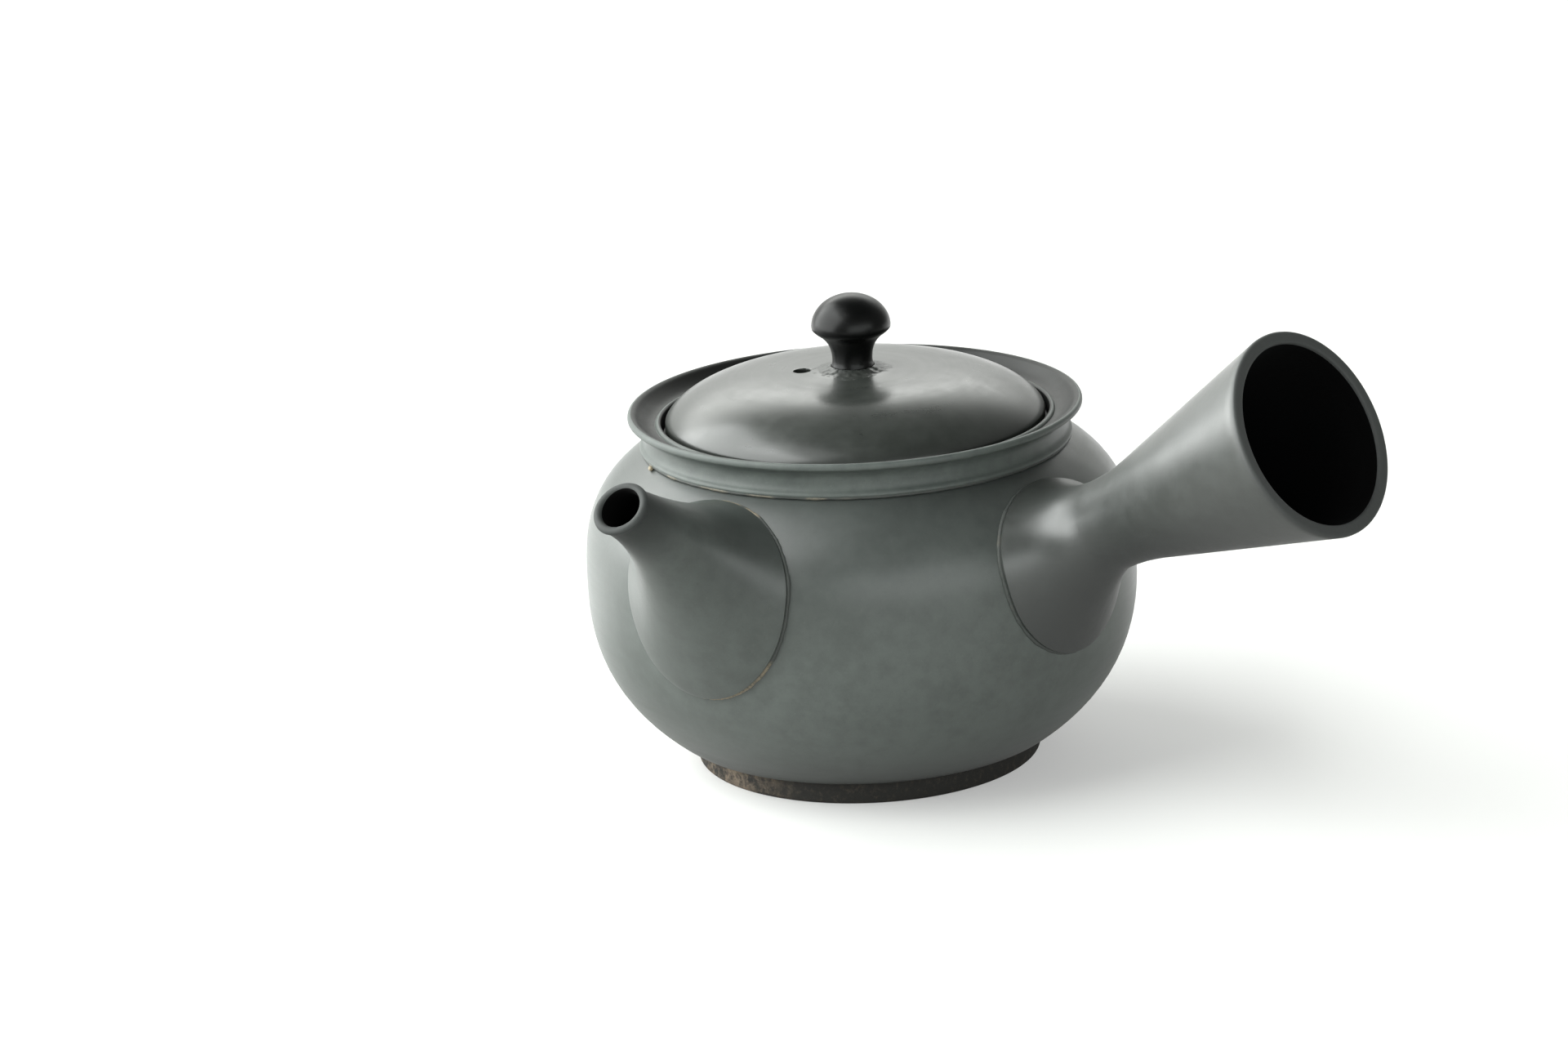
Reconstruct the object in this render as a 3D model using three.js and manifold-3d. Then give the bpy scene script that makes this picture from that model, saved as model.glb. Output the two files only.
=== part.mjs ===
// A side-handled Japanese teapot of burnished black clay, with a lift-off lid.
// Millimetres, +Z up. The origin is on the pot's axis, on the flat underside of the foot.
// The handle points along +X. The spout points a few degrees from -Y.

import * as THREE from 'three';
import { mergeVertices } from 'three/addons/utils/BufferGeometryUtils.js';
import Module from 'manifold-3d';

const wasm = await Module();
wasm.setup();

// Driving dimensions

// Clearances
const LUTE_GAP = 0.3; // slip joint between two pieces that are stuck together
const LID_SEAT_GAP = 0.3; // under the lid's edge, above its ledge
const LID_EDGE_CLEARANCE = 0.8; // round the lid's edge, inside the gallery
const TENON_CLEARANCE = 0.8; // round the lid's locating ring, inside the throat

// Foot
const FOOT_HEIGHT = 4.7;
const FOOT_SETBACK = 2.9; // how far the foot stands back under the belly's lower edge
const FOOT_CHAMFER = 0.8;

// Belly
const BELLY_RADIUS = 52.5;
const BELLY_UNDERSIDE_RADIUS = 35.9;
const BELLY_MOUTH_RADIUS = 40.2;
const BELLY_LOWER_DEPTH = 31.2; // underside to widest ring
const BELLY_UPPER_DEPTH = 25.7; // widest ring to mouth
const BELLY_LOWER_FULLNESS = 2.33; // 2 is an ellipse, more is fuller
const BELLY_UPPER_FULLNESS = 3.1;
const BELLY_WALL = 2.8;
const BELLY_FLOOR = 3.4;
const BELLY_MOUTH_LAND = 6.4; // width of the mouth's flat face
const BELLY_HEEL = 5.9; // how much the wall thickens down to the underside
const BELLY_EDGE_ROUND = 0.7;

// Neck collar, flared rim and gallery
const COLLAR_OVERHANG = 0.85; // collar edge past the belly's mouth
const COLLAR_EDGE = 0.5;
const NECK_WAIST_INSET = 1.0; // waist inside the collar edge
const NECK_WAIST_HEIGHT = 3.1; // above the collar's underside
const NECK_FLARE_BEND = 0.65; // share of the flare's height below its bend
const RIM_HEIGHT = 6.95; // rim top above the collar's underside
const RIM_FLARE = 2.05; // rim edge past the collar edge
const RIM_THICKNESS = 1.4;
const RIM_DISH_BEND = 0.47; // share of the dish's width inside its bend
const GALLERY_BEAD_HEIGHT = 5.0; // bead ring above the collar's underside
const GALLERY_BEAD_WIDTH = 0.6;
const GALLERY_WALL = 3.25; // wall at the waist, beside the lid's edge
const LEDGE_HEIGHT = 2.0; // lid ledge above the collar's underside
const THROAT_STEP = 0.4; // throat inside the belly's inner mouth
const THROAT_CHAMFER = 0.4;

// Lid
const LID_EDGE_HEIGHT = 2.4; // underside of the edge to where the dome starts
const LID_DOME_HEIGHT = 8.9; // from there to the crown
const LID_CROWN_RADIUS = 4.8; // flat middle, where the knob stands
const LID_DOME_FULLNESS = 2.78;
const LID_DOME_BEND = 0.674;
const LID_WALL = 2.6;
const LID_EDGE_ROUND = 0.5;
const TENON_WALL = 2.4;
const TENON_DEPTH = 8.0;
const VENT_RADIUS = 1.7;
const VENT_OFFSET = 9.6; // vent centre from the pot's axis
const VENT_TURN = 217.5; // degrees about +Z from +X

// Knob
const KNOB_CAP_RADIUS = 7.55;
const KNOB_STEM_RADIUS = 3.8;
const KNOB_BASE_FLARE = 0.2;
const KNOB_STEM_HEIGHT = 3.0; // base to where the stem starts to widen
const KNOB_UNDERCAP_HEIGHT = 6.3; // base to the cap's lower edge
const KNOB_CAP_EDGE = 1.5; // lower edge to widest ring
const KNOB_HEIGHT = 14.1;

// Spout. Heights are above the belly's widest ring, reaches are past the belly's widest radius.
const SPOUT_TURN = 6.5; // degrees from -Y towards +X
const SPOUT_FLANGE_HEIGHT = 9.9; // where the flange is widest, on a centre inside the belly
const SPOUT_FLANGE_DEPTH = 5.2; // how far inside the belly's widest radius that centre is
const SPOUT_FLANGE_RISE = 14.0; // degrees
const SPOUT_FLANGE_WIDTH = 35.2;
const SPOUT_FLANGE_SHOULDER = 1.5; // flange's top below the belly's mouth
const SPOUT_FLANGE_DROP = 10.3; // flange's bottom below the belly's widest ring
const SPOUT_TIP_REACH = 21.4; // lip's centre
const SPOUT_TIP_HEIGHT = 32.0;
const SPOUT_LIP_RISE = 46.7; // degrees, direction that the lip's plane faces
const SPOUT_BORE_RISE = 29.2; // degrees, direction of the horn at its lip
const SPOUT_LIP_RADIUS = 5.3;
const SPOUT_LIP_FLARE = 0.3; // lip past the horn just behind it
const SPOUT_LIP_LENGTH = 1.2;
const SPOUT_LIP_ROUND = 0.35;
const SPOUT_WALL = 1.3;
const SPOUT_TOP_PULL = 2.2; // how far the horn's top keeps to the flange's slope
const SPOUT_BOTTOM_PULL = 10.2;
const SPOUT_TIP_PULL = 54.8;
const SPOUT_FLANGE_SLOPE = 30.3; // degrees off the belly at the seam

// Handle. Heights are above the belly's widest ring.
const HANDLE_FLANGE_HEIGHT = 11.2;
const HANDLE_FLANGE_DEPTH = 5.5;
const HANDLE_FLANGE_RISE = 14.2; // degrees
const HANDLE_FLANGE_WIDTH = 33.2;
const HANDLE_FLANGE_SHOULDER = 2.2;
const HANDLE_FLANGE_DROP = 6.9;
const HANDLE_AXIS_HEIGHT = 14.2; // where its axis crosses the belly's widest radius
const HANDLE_RISE = 27.8; // degrees
const HANDLE_NECK_LENGTH = 9.9; // along the axis, from the belly's widest radius
const HANDLE_LENGTH = 61.3; // to the mouth
const HANDLE_NECK_RADIUS = 8.6;
const HANDLE_MOUTH_RADIUS = 19.05;
const HANDLE_NECK_WALL = 2.3;
const HANDLE_MOUTH_WALL = 1.95;
const HANDLE_NECK_BLEND = 0.207; // share of the cone that bends out of the neck
const HANDLE_TOP_PULL = 9.0;
const HANDLE_BOTTOM_PULL = 10.4;
const HANDLE_NECK_PULL = 19.4;
const HANDLE_FLANGE_SLOPE = 28.3; // degrees
const HANDLE_LIP_ROUND = 0.8;

// Saddle flanges of spout and handle
const FLANGE_EDGE = 0.5; // thickness at the seam
const FLANGE_LAND = 5.0; // width of the luted face

// Strainer
const STRAINER_RADIUS = 10.2;
const STRAINER_HEIGHT = 7.8; // where its axis leaves the belly, above the widest ring
const STRAINER_RISE = 10.0; // degrees
const STRAINER_WALL = 1.9;
const STRAINER_DOME = 4.6; // bulge into the pot
const STRAINER_SETBACK = 2.0; // its outer edge behind the belly's skin
const STRAINER_HOLE_RADIUS = 0.9;
const STRAINER_HOLE_PITCH = 3.1;
const STRAINER_HOLE_MARGIN = 0.8; // least wall between the outer holes and the rim

// Facets
const TURNED_SIDES = 48;
const LOFT_SIDES = 36;
const KNOB_SIDES = 28;
const STRAINER_SIDES = 30;
const HOLE_SIDES = 6;
const VENT_SIDES = 12;

// Heights and radii that follow from them

const bellyBottom = FOOT_HEIGHT + LUTE_GAP;
const bellyWidest = bellyBottom + BELLY_LOWER_DEPTH;
const bellyTop = bellyWidest + BELLY_UPPER_DEPTH;
const bellyThroat = BELLY_MOUTH_RADIUS - BELLY_MOUTH_LAND;

const neckBottom = bellyTop + LUTE_GAP;
const ledgeZ = neckBottom + LEDGE_HEIGHT;
const collarRadius = BELLY_MOUTH_RADIUS + COLLAR_OVERHANG;
const waistRadius = collarRadius - NECK_WAIST_INSET;
const galleryRadius = waistRadius - GALLERY_WALL;
const throatRadius = bellyThroat - THROAT_STEP;

const lidRadius = galleryRadius - LID_EDGE_CLEARANCE;
const tenonRadius = throatRadius - TENON_CLEARANCE;
const lidBottom = ledgeZ + LID_SEAT_GAP;
const lidDomeStart = lidBottom + LID_EDGE_HEIGHT;
const lidCrown = lidDomeStart + LID_DOME_HEIGHT;
const knobBottom = lidCrown + LUTE_GAP;

const radians = THREE.MathUtils.degToRad;
const spoutAngle = radians(SPOUT_TURN - 90);
const handleAngle = 0;

// Helpers

// Radius of one half of a swelling form: widest at 0, ending at endRadius when the distance is depth.
function swell(widest, endRadius, depth, fullness, distance) {
  const reach = depth / (1 - (endRadius / widest) ** 2) ** (1 / fullness);
  return widest * Math.sqrt(Math.max(0, 1 - (distance / reach) ** fullness));
}

function bellyRadius(z) {
  const above = z - bellyWidest;
  if (above < 0) {
    return swell(BELLY_RADIUS, BELLY_UNDERSIDE_RADIUS, BELLY_LOWER_DEPTH, BELLY_LOWER_FULLNESS, -above);
  }
  return swell(BELLY_RADIUS, BELLY_MOUTH_RADIUS, BELLY_UPPER_DEPTH, BELLY_UPPER_FULLNESS, above);
}

function bellyInnerRadius(z) {
  const widest = BELLY_RADIUS - BELLY_WALL;
  if (z < bellyWidest) {
    const heel = BELLY_UNDERSIDE_RADIUS - BELLY_HEEL;
    return swell(widest, heel, BELLY_LOWER_DEPTH, BELLY_LOWER_FULLNESS, bellyWidest - z);
  }
  return swell(widest, bellyThroat, BELLY_UPPER_DEPTH, BELLY_UPPER_FULLNESS, z - bellyWidest);
}

// Outward unit normal of the belly in its radial plane, as [radial, upward].
function bellySlope(z) {
  const step = 0.05;
  const change = (bellyRadius(z + step) - bellyRadius(z - step)) / (2 * step);
  const size = Math.hypot(1, change);
  return [1 / size, -change / size];
}

// Heights from one end to the other, closer together towards the far end.
function graded(from, to, count) {
  const quarter = Math.PI / 2;
  return Array.from({ length: count + 1 }, (_, i) => from + (to - from) * Math.sin(quarter * (i / count)));
}

function signedVolume(geometry) {
  const p = geometry.attributes.position;
  const index = geometry.index.array;
  const [a, b, c] = [new THREE.Vector3(), new THREE.Vector3(), new THREE.Vector3()];
  let sum = 0;
  for (let i = 0; i < index.length; i += 3) {
    a.fromBufferAttribute(p, index[i]);
    b.fromBufferAttribute(p, index[i + 1]);
    c.fromBufferAttribute(p, index[i + 2]);
    sum += a.dot(b.cross(c)) / 6;
  }
  return sum;
}

// One closed body with merged vertices and its faces pointing out.
function closedBody(source) {
  const geometry = source.clone();
  geometry.deleteAttribute('normal');
  geometry.deleteAttribute('uv');
  const merged = mergeVertices(geometry, 1e-4);
  const kept = [];
  const index = merged.index.array;
  for (let i = 0; i < index.length; i += 3) {
    const [a, b, c] = [index[i], index[i + 1], index[i + 2]];
    if (a !== b && b !== c && c !== a) kept.push(a, b, c);
  }
  merged.setIndex(kept);
  if (signedVolume(merged) < 0) {
    const flipped = merged.index.array;
    for (let i = 0; i < flipped.length; i += 3) {
      [flipped[i], flipped[i + 1]] = [flipped[i + 1], flipped[i]];
    }
  }
  return merged;
}

// Profile points are [radius, height] about +Z.
function turned(points, sides = TURNED_SIDES) {
  const profile = points.map(([r, z]) => new THREE.Vector2(Math.max(0, r), z));
  return closedBody(new THREE.LatheGeometry(profile, sides).rotateX(Math.PI / 2));
}

// A band of rings, each a list of points, that closes on its first ring.
function ringBody(rings) {
  const sides = rings[0].length;
  const positions = rings.flat().flatMap((point) => [point.x, point.y, point.z]);
  const index = [];
  rings.forEach((_, i) => {
    const next = (i + 1) % rings.length;
    for (let j = 0; j < sides; j += 1) {
      const k = (j + 1) % sides;
      const [a, b, c, d] = [i * sides + j, i * sides + k, next * sides + k, next * sides + j];
      index.push(a, b, c, a, c, d);
    }
  });
  const geometry = new THREE.BufferGeometry();
  geometry.setAttribute('position', new THREE.Float32BufferAttribute(positions, 3));
  geometry.setIndex(index);
  return closedBody(geometry);
}

function toSolid(geometry) {
  const vertProperties = Float32Array.from(geometry.attributes.position.array);
  const triVerts = Uint32Array.from(geometry.index.array);
  return new wasm.Manifold(new wasm.Mesh({ numProp: 3, vertProperties, triVerts }));
}

function fromSolid(solid) {
  const mesh = solid.getMesh();
  const geometry = new THREE.BufferGeometry();
  geometry.setAttribute('position', new THREE.BufferAttribute(mesh.vertProperties, 3));
  geometry.setIndex(new THREE.BufferAttribute(mesh.triVerts, 1));
  return geometry;
}

// A straight drill of the given radius, centred on a point and running along a direction.
function drill(centre, direction, radius, length, sides) {
  const turn = new THREE.Quaternion().setFromUnitVectors(new THREE.Vector3(0, 1, 0), direction);
  const geometry = new THREE.CylinderGeometry(radius, radius, length, sides);
  geometry.applyQuaternion(turn).translate(centre.x, centre.y, centre.z);
  return toSolid(closedBody(geometry));
}

// Outward, sideways and upward directions of a vertical plane through the pot's axis.
function planeFrame(angle) {
  return {
    out: new THREE.Vector3(Math.cos(angle), Math.sin(angle), 0),
    side: new THREE.Vector3(-Math.sin(angle), Math.cos(angle), 0),
    up: new THREE.Vector3(0, 0, 1),
  };
}

// Point of the plane at a distance from the axis and a height.
function planePoint(frame, reach, height) {
  return frame.out.clone().multiplyScalar(reach).addScaledVector(frame.up, height);
}

// Direction in the plane that rises by an angle in degrees.
function rising(frame, degrees) {
  const angle = radians(degrees);
  return frame.out.clone().multiplyScalar(Math.cos(angle)).addScaledVector(frame.up, Math.sin(angle));
}

function circleAngles(sides) {
  return Array.from({ length: sides }, (_, i) => (2 * Math.PI * i) / sides);
}

// A circle that faces a direction of the plane.
function circle(frame, centre, facing, radius, sides = LOFT_SIDES) {
  const upward = facing.clone().cross(frame.side);
  if (upward.z < 0) upward.negate();
  return circleAngles(sides).map((angle) => centre.clone()
    .addScaledVector(frame.side, radius * Math.cos(angle))
    .addScaledVector(upward, radius * Math.sin(angle)));
}

// Moves a point along a direction until it lies on the belly.
function ontoBelly(point, direction) {
  let inside = -BELLY_RADIUS;
  let outside = BELLY_RADIUS;
  for (let i = 0; i < 48; i += 1) {
    const middle = (inside + outside) / 2;
    const trial = point.clone().addScaledVector(direction, middle);
    if (Math.hypot(trial.x, trial.y) < bellyRadius(trial.z)) inside = middle;
    else outside = middle;
  }
  return point.clone().addScaledVector(direction, inside);
}

function bellyNormal(point) {
  const [out, up] = bellySlope(point.z);
  const radius = Math.hypot(point.x, point.y);
  return new THREE.Vector3((point.x / radius) * out, (point.y / radius) * out, up);
}

// The egg-shaped loop of a saddle flange on the belly, drawn in by an inset.
function saddleLoop(frame, flange, inset) {
  const direction = rising(frame, flange.rise);
  const upward = frame.side.clone().cross(direction);
  if (upward.z < 0) upward.negate();
  const centre = planePoint(frame, BELLY_RADIUS - flange.depth, bellyWidest + flange.height);
  const span = (z) => Math.abs(planePoint(frame, bellyRadius(z), z).sub(centre).dot(upward));
  const above = span(bellyTop - flange.shoulder) - inset;
  const below = span(bellyWidest - flange.drop) - inset;
  return circleAngles(LOFT_SIDES).map((angle) => {
    const [across, along] = [Math.cos(angle), Math.sin(angle)];
    const start = centre.clone()
      .addScaledVector(frame.side, (flange.width / 2 - inset) * across)
      .addScaledVector(upward, (along > 0 ? above : below) * along);
    return ontoBelly(start, direction);
  });
}

function raised(points, height) {
  return points.map((point) => point.clone().addScaledVector(bellyNormal(point), height));
}

// Tangents that leave the seam towards the middle of the flange, at the flange's slope.
function seamTangents(points, flange) {
  const middle = new THREE.Vector3();
  points.forEach((point) => middle.addScaledVector(point, 1 / points.length));
  const slope = radians(flange.slope);
  return points.map((point, i) => {
    const normal = bellyNormal(point);
    const inward = middle.clone().sub(point);
    inward.addScaledVector(normal, -inward.dot(normal)).normalize();
    const low = 0.5 - 0.5 * Math.sin((2 * Math.PI * i) / points.length);
    const pull = THREE.MathUtils.lerp(flange.topPull, flange.bottomPull, low);
    inward.multiplyScalar(Math.cos(slope)).addScaledVector(normal, Math.sin(slope));
    return inward.multiplyScalar(pull);
  });
}

function hermite(start, startTangent, end, endTangent, t) {
  const [t2, t3] = [t * t, t * t * t];
  return start.clone().multiplyScalar(2 * t3 - 3 * t2 + 1)
    .addScaledVector(startTangent, t3 - 2 * t2 + t)
    .addScaledVector(end, -2 * t3 + 3 * t2)
    .addScaledVector(endTangent, t3 - t2);
}

// Rings between two loops, without the first and with the last.
function loftRings(start, tangents, end, endTangent, steps) {
  return Array.from({ length: steps }, (_, i) => start.map(
    (point, j) => hermite(point, tangents[j], end[j], endTangent, (i + 1) / steps),
  ));
}

// Pieces

function footGeometry() {
  const radius = BELLY_UNDERSIDE_RADIUS - FOOT_SETBACK;
  return turned([
    [0, 0],
    [radius - FOOT_CHAMFER, 0],
    [radius, FOOT_CHAMFER],
    [radius, FOOT_HEIGHT],
    [0, FOOT_HEIGHT],
  ]);
}

const strainerFrame = planeFrame(spoutAngle);
const strainerAxis = rising(strainerFrame, STRAINER_RISE);
const strainerSeat = ontoBelly(
  planePoint(strainerFrame, BELLY_RADIUS, bellyWidest + STRAINER_HEIGHT),
  strainerAxis,
);

function bellyGeometry() {
  const lower = graded(bellyWidest, bellyBottom + BELLY_EDGE_ROUND, 9).reverse();
  const upper = graded(bellyWidest, bellyTop, 9).slice(1);
  const outer = [...lower, ...upper].map((z) => [bellyRadius(z), z]);
  const floorTop = bellyBottom + BELLY_FLOOR;
  const floorCorner = floorTop + BELLY_EDGE_ROUND;
  const inner = [...graded(bellyWidest, floorCorner, 8).reverse(), ...upper].reverse()
    .map((z) => [bellyInnerRadius(z), z]);
  const shell = turned([
    [0, bellyBottom],
    [BELLY_UNDERSIDE_RADIUS - BELLY_EDGE_ROUND, bellyBottom],
    ...outer,
    ...inner,
    [bellyInnerRadius(floorCorner) - 2 * BELLY_EDGE_ROUND, floorTop],
    [0, floorTop],
  ]);
  const hole = drill(strainerSeat, strainerAxis, STRAINER_RADIUS + LUTE_GAP, 6 * BELLY_WALL, 32);
  return fromSolid(toSolid(shell).subtract(hole));
}

function neckGeometry() {
  const rimRadius = collarRadius + RIM_FLARE;
  const rimTop = neckBottom + RIM_HEIGHT;
  const rimUnderside = rimTop - RIM_THICKNESS;
  const lipRound = RIM_THICKNESS / 3;
  const waistZ = neckBottom + NECK_WAIST_HEIGHT;
  const beadTop = neckBottom + GALLERY_BEAD_HEIGHT;
  const beadRadius = galleryRadius + GALLERY_BEAD_WIDTH;
  const beadRound = GALLERY_BEAD_WIDTH / 3;
  // The outer wall swings from the waist out to the rim's underside.
  const flare = new THREE.QuadraticBezierCurve(
    new THREE.Vector2(waistRadius, waistZ),
    new THREE.Vector2(waistRadius, THREE.MathUtils.lerp(waistZ, rimUnderside, NECK_FLARE_BEND)),
    new THREE.Vector2(rimRadius - lipRound, rimUnderside),
  ).getPoints(4).map(({ x, y }) => [x, y]);
  // The rim's upper face is dished from the lip down to the bead ring.
  const lipInside = rimRadius - RIM_THICKNESS;
  const dish = new THREE.QuadraticBezierCurve(
    new THREE.Vector2(lipInside, rimTop - beadRound),
    new THREE.Vector2(THREE.MathUtils.lerp(beadRadius, lipInside, RIM_DISH_BEND), beadTop - beadRound),
    new THREE.Vector2(beadRadius, beadTop - beadRound),
  ).getPoints(4).map(({ x, y }) => [x, y]);
  return turned([
    [throatRadius, neckBottom],
    [collarRadius - COLLAR_EDGE, neckBottom],
    [collarRadius, neckBottom + COLLAR_EDGE],
    [(collarRadius + waistRadius) / 2, neckBottom + 2 * COLLAR_EDGE],
    ...flare,
    [rimRadius, (rimUnderside + rimTop) / 2],
    [rimRadius - lipRound, rimTop],
    ...dish,
    [(galleryRadius + beadRadius) / 2, beadTop],
    [galleryRadius, beadTop - beadRound],
    [galleryRadius, ledgeZ],
    [throatRadius + THROAT_CHAMFER, ledgeZ],
    [throatRadius, ledgeZ - THROAT_CHAMFER],
    [throatRadius, neckBottom],
  ]);
}

// Height of the dome's outer face at a radius.
function domeHeight(radius) {
  const share = Math.max(0, (radius - LID_CROWN_RADIUS) / (lidRadius - LID_CROWN_RADIUS));
  return lidDomeStart + LID_DOME_HEIGHT * Math.max(0, 1 - share ** LID_DOME_FULLNESS) ** LID_DOME_BEND;
}

function lidGeometry() {
  const tenonInner = tenonRadius - TENON_WALL;
  const tenonBottom = lidBottom - TENON_DEPTH;
  const dome = graded(LID_CROWN_RADIUS, lidRadius, 10).map((radius) => [radius, domeHeight(radius)]);
  const underside = graded(LID_CROWN_RADIUS, tenonInner, 5).reverse()
    .map((radius) => [radius, domeHeight(radius) - LID_WALL]);
  const shell = turned([
    [0, lidCrown],
    ...dome,
    [lidRadius, lidBottom + LID_EDGE_ROUND],
    [lidRadius - LID_EDGE_ROUND, lidBottom],
    [tenonRadius, lidBottom],
    [tenonRadius, tenonBottom + LID_EDGE_ROUND],
    [tenonRadius - LID_EDGE_ROUND, tenonBottom],
    [tenonInner, tenonBottom],
    ...underside,
    [0, lidCrown - LID_WALL],
  ]);
  const turn = radians(VENT_TURN);
  const vent = new THREE.Vector3(VENT_OFFSET * Math.cos(turn), VENT_OFFSET * Math.sin(turn), lidCrown);
  const hole = drill(vent, new THREE.Vector3(0, 0, 1), VENT_RADIUS, 6 * LID_WALL, VENT_SIDES);
  return fromSolid(toSolid(shell).subtract(hole));
}

function knobGeometry() {
  const capStart = knobBottom + KNOB_UNDERCAP_HEIGHT;
  const widest = capStart + KNOB_CAP_EDGE;
  const domeRise = KNOB_HEIGHT - KNOB_UNDERCAP_HEIGHT - KNOB_CAP_EDGE;
  const stem = new THREE.QuadraticBezierCurve(
    new THREE.Vector2(KNOB_STEM_RADIUS, knobBottom + KNOB_STEM_HEIGHT / 2),
    new THREE.Vector2(KNOB_STEM_RADIUS, (knobBottom + KNOB_STEM_HEIGHT + capStart) / 2),
    new THREE.Vector2(KNOB_CAP_RADIUS - KNOB_CAP_EDGE, capStart),
  ).getPoints(5).map(({ x, y }) => [x, y]);
  const cap = Array.from({ length: 6 }, (_, i) => {
    const angle = (Math.PI / 2) * (i / 6);
    return [KNOB_CAP_RADIUS * Math.cos(angle), widest + domeRise * Math.sin(angle)];
  });
  return turned([
    [0, knobBottom],
    [KNOB_STEM_RADIUS + KNOB_BASE_FLARE, knobBottom],
    ...stem,
    [KNOB_CAP_RADIUS - KNOB_CAP_EDGE / 4, widest - KNOB_CAP_EDGE / 2],
    ...cap,
    [0, widest + domeRise],
  ], KNOB_SIDES);
}

// The luted face of a saddle flange, from its inner edge out to the seam and over the seam's edge.
function flangeRings(frame, flange) {
  const seam = saddleLoop(frame, flange, 0);
  const middle = saddleLoop(frame, flange, FLANGE_LAND / 2);
  const inner = saddleLoop(frame, flange, FLANGE_LAND);
  return {
    land: [raised(inner, LUTE_GAP), raised(middle, LUTE_GAP), raised(seam, LUTE_GAP)],
    edge: raised(seam, LUTE_GAP + FLANGE_EDGE),
    inner: raised(inner, LUTE_GAP),
    outerTangents: seamTangents(seam, flange),
    innerTangents: seamTangents(inner, flange),
  };
}

function spoutGeometry() {
  const frame = planeFrame(spoutAngle);
  const rings = flangeRings(frame, {
    height: SPOUT_FLANGE_HEIGHT,
    depth: SPOUT_FLANGE_DEPTH,
    rise: SPOUT_FLANGE_RISE,
    width: SPOUT_FLANGE_WIDTH,
    shoulder: SPOUT_FLANGE_SHOULDER,
    drop: SPOUT_FLANGE_DROP,
    topPull: SPOUT_TOP_PULL,
    bottomPull: SPOUT_BOTTOM_PULL,
    slope: SPOUT_FLANGE_SLOPE,
  });
  const facing = rising(frame, SPOUT_LIP_RISE);
  const tangent = rising(frame, SPOUT_BORE_RISE).multiplyScalar(SPOUT_TIP_PULL);
  const tip = planePoint(frame, BELLY_RADIUS + SPOUT_TIP_REACH, bellyWidest + SPOUT_TIP_HEIGHT);
  const lipRing = (radius, back) => circle(frame, tip.clone().addScaledVector(facing, -back), facing, radius);
  const hornEnd = lipRing(SPOUT_LIP_RADIUS - SPOUT_LIP_FLARE, SPOUT_LIP_LENGTH);
  const boreRadius = SPOUT_LIP_RADIUS - SPOUT_WALL;
  const boreEnd = lipRing(boreRadius, SPOUT_LIP_LENGTH);
  return ringBody([
    ...rings.land,
    rings.edge,
    ...loftRings(rings.edge, rings.outerTangents, hornEnd, tangent, 10),
    lipRing(SPOUT_LIP_RADIUS, SPOUT_LIP_ROUND),
    lipRing(SPOUT_LIP_RADIUS - SPOUT_LIP_ROUND, 0),
    lipRing(boreRadius + SPOUT_LIP_ROUND, 0),
    ...loftRings(rings.inner, rings.innerTangents, boreEnd, tangent, 7).reverse(),
  ]);
}

// Outer radius of the handle's cone at a share of the way from neck to mouth.
function coneShare(share) {
  const blend = HANDLE_NECK_BLEND;
  const run = share < blend ? share ** 2 / (2 * blend) : share - blend / 2;
  return run / (1 - blend / 2);
}

function handleGeometry() {
  const frame = planeFrame(handleAngle);
  const rings = flangeRings(frame, {
    height: HANDLE_FLANGE_HEIGHT,
    depth: HANDLE_FLANGE_DEPTH,
    rise: HANDLE_FLANGE_RISE,
    width: HANDLE_FLANGE_WIDTH,
    shoulder: HANDLE_FLANGE_SHOULDER,
    drop: HANDLE_FLANGE_DROP,
    topPull: HANDLE_TOP_PULL,
    bottomPull: HANDLE_BOTTOM_PULL,
    slope: HANDLE_FLANGE_SLOPE,
  });
  const axis = rising(frame, HANDLE_RISE);
  const start = planePoint(frame, BELLY_RADIUS, bellyWidest + HANDLE_AXIS_HEIGHT);
  const ring = (along, radius) => circle(frame, start.clone().addScaledVector(axis, along), axis, radius);
  const tangent = axis.clone().multiplyScalar(HANDLE_NECK_PULL);
  const neckInner = HANDLE_NECK_RADIUS - HANDLE_NECK_WALL;
  const mouthInner = HANDLE_MOUTH_RADIUS - HANDLE_MOUTH_WALL;
  const coneEnd = HANDLE_LENGTH - HANDLE_LIP_ROUND;
  const lip = HANDLE_LIP_ROUND / 3;
  const coneShares = [HANDLE_NECK_BLEND / 2, HANDLE_NECK_BLEND, 0.6, 1];
  const cone = (neckRadius, mouthRadius) => coneShares.map((share) => ring(
    THREE.MathUtils.lerp(HANDLE_NECK_LENGTH, coneEnd, share),
    THREE.MathUtils.lerp(neckRadius, mouthRadius, coneShare(share)),
  ));
  const neckOutside = ring(HANDLE_NECK_LENGTH, HANDLE_NECK_RADIUS);
  const neckInside = ring(HANDLE_NECK_LENGTH, neckInner);
  return ringBody([
    ...rings.land,
    rings.edge,
    ...loftRings(rings.edge, rings.outerTangents, neckOutside, tangent, 8),
    ...cone(HANDLE_NECK_RADIUS, HANDLE_MOUTH_RADIUS),
    ring(HANDLE_LENGTH - lip, HANDLE_MOUTH_RADIUS - lip),
    ring(HANDLE_LENGTH, HANDLE_MOUTH_RADIUS - 2 * lip),
    ring(HANDLE_LENGTH, mouthInner + 2 * lip),
    ...cone(neckInner, mouthInner).reverse(),
    ...loftRings(rings.inner, rings.innerTangents, neckInside, tangent, 6).reverse(),
  ]);
}

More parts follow.
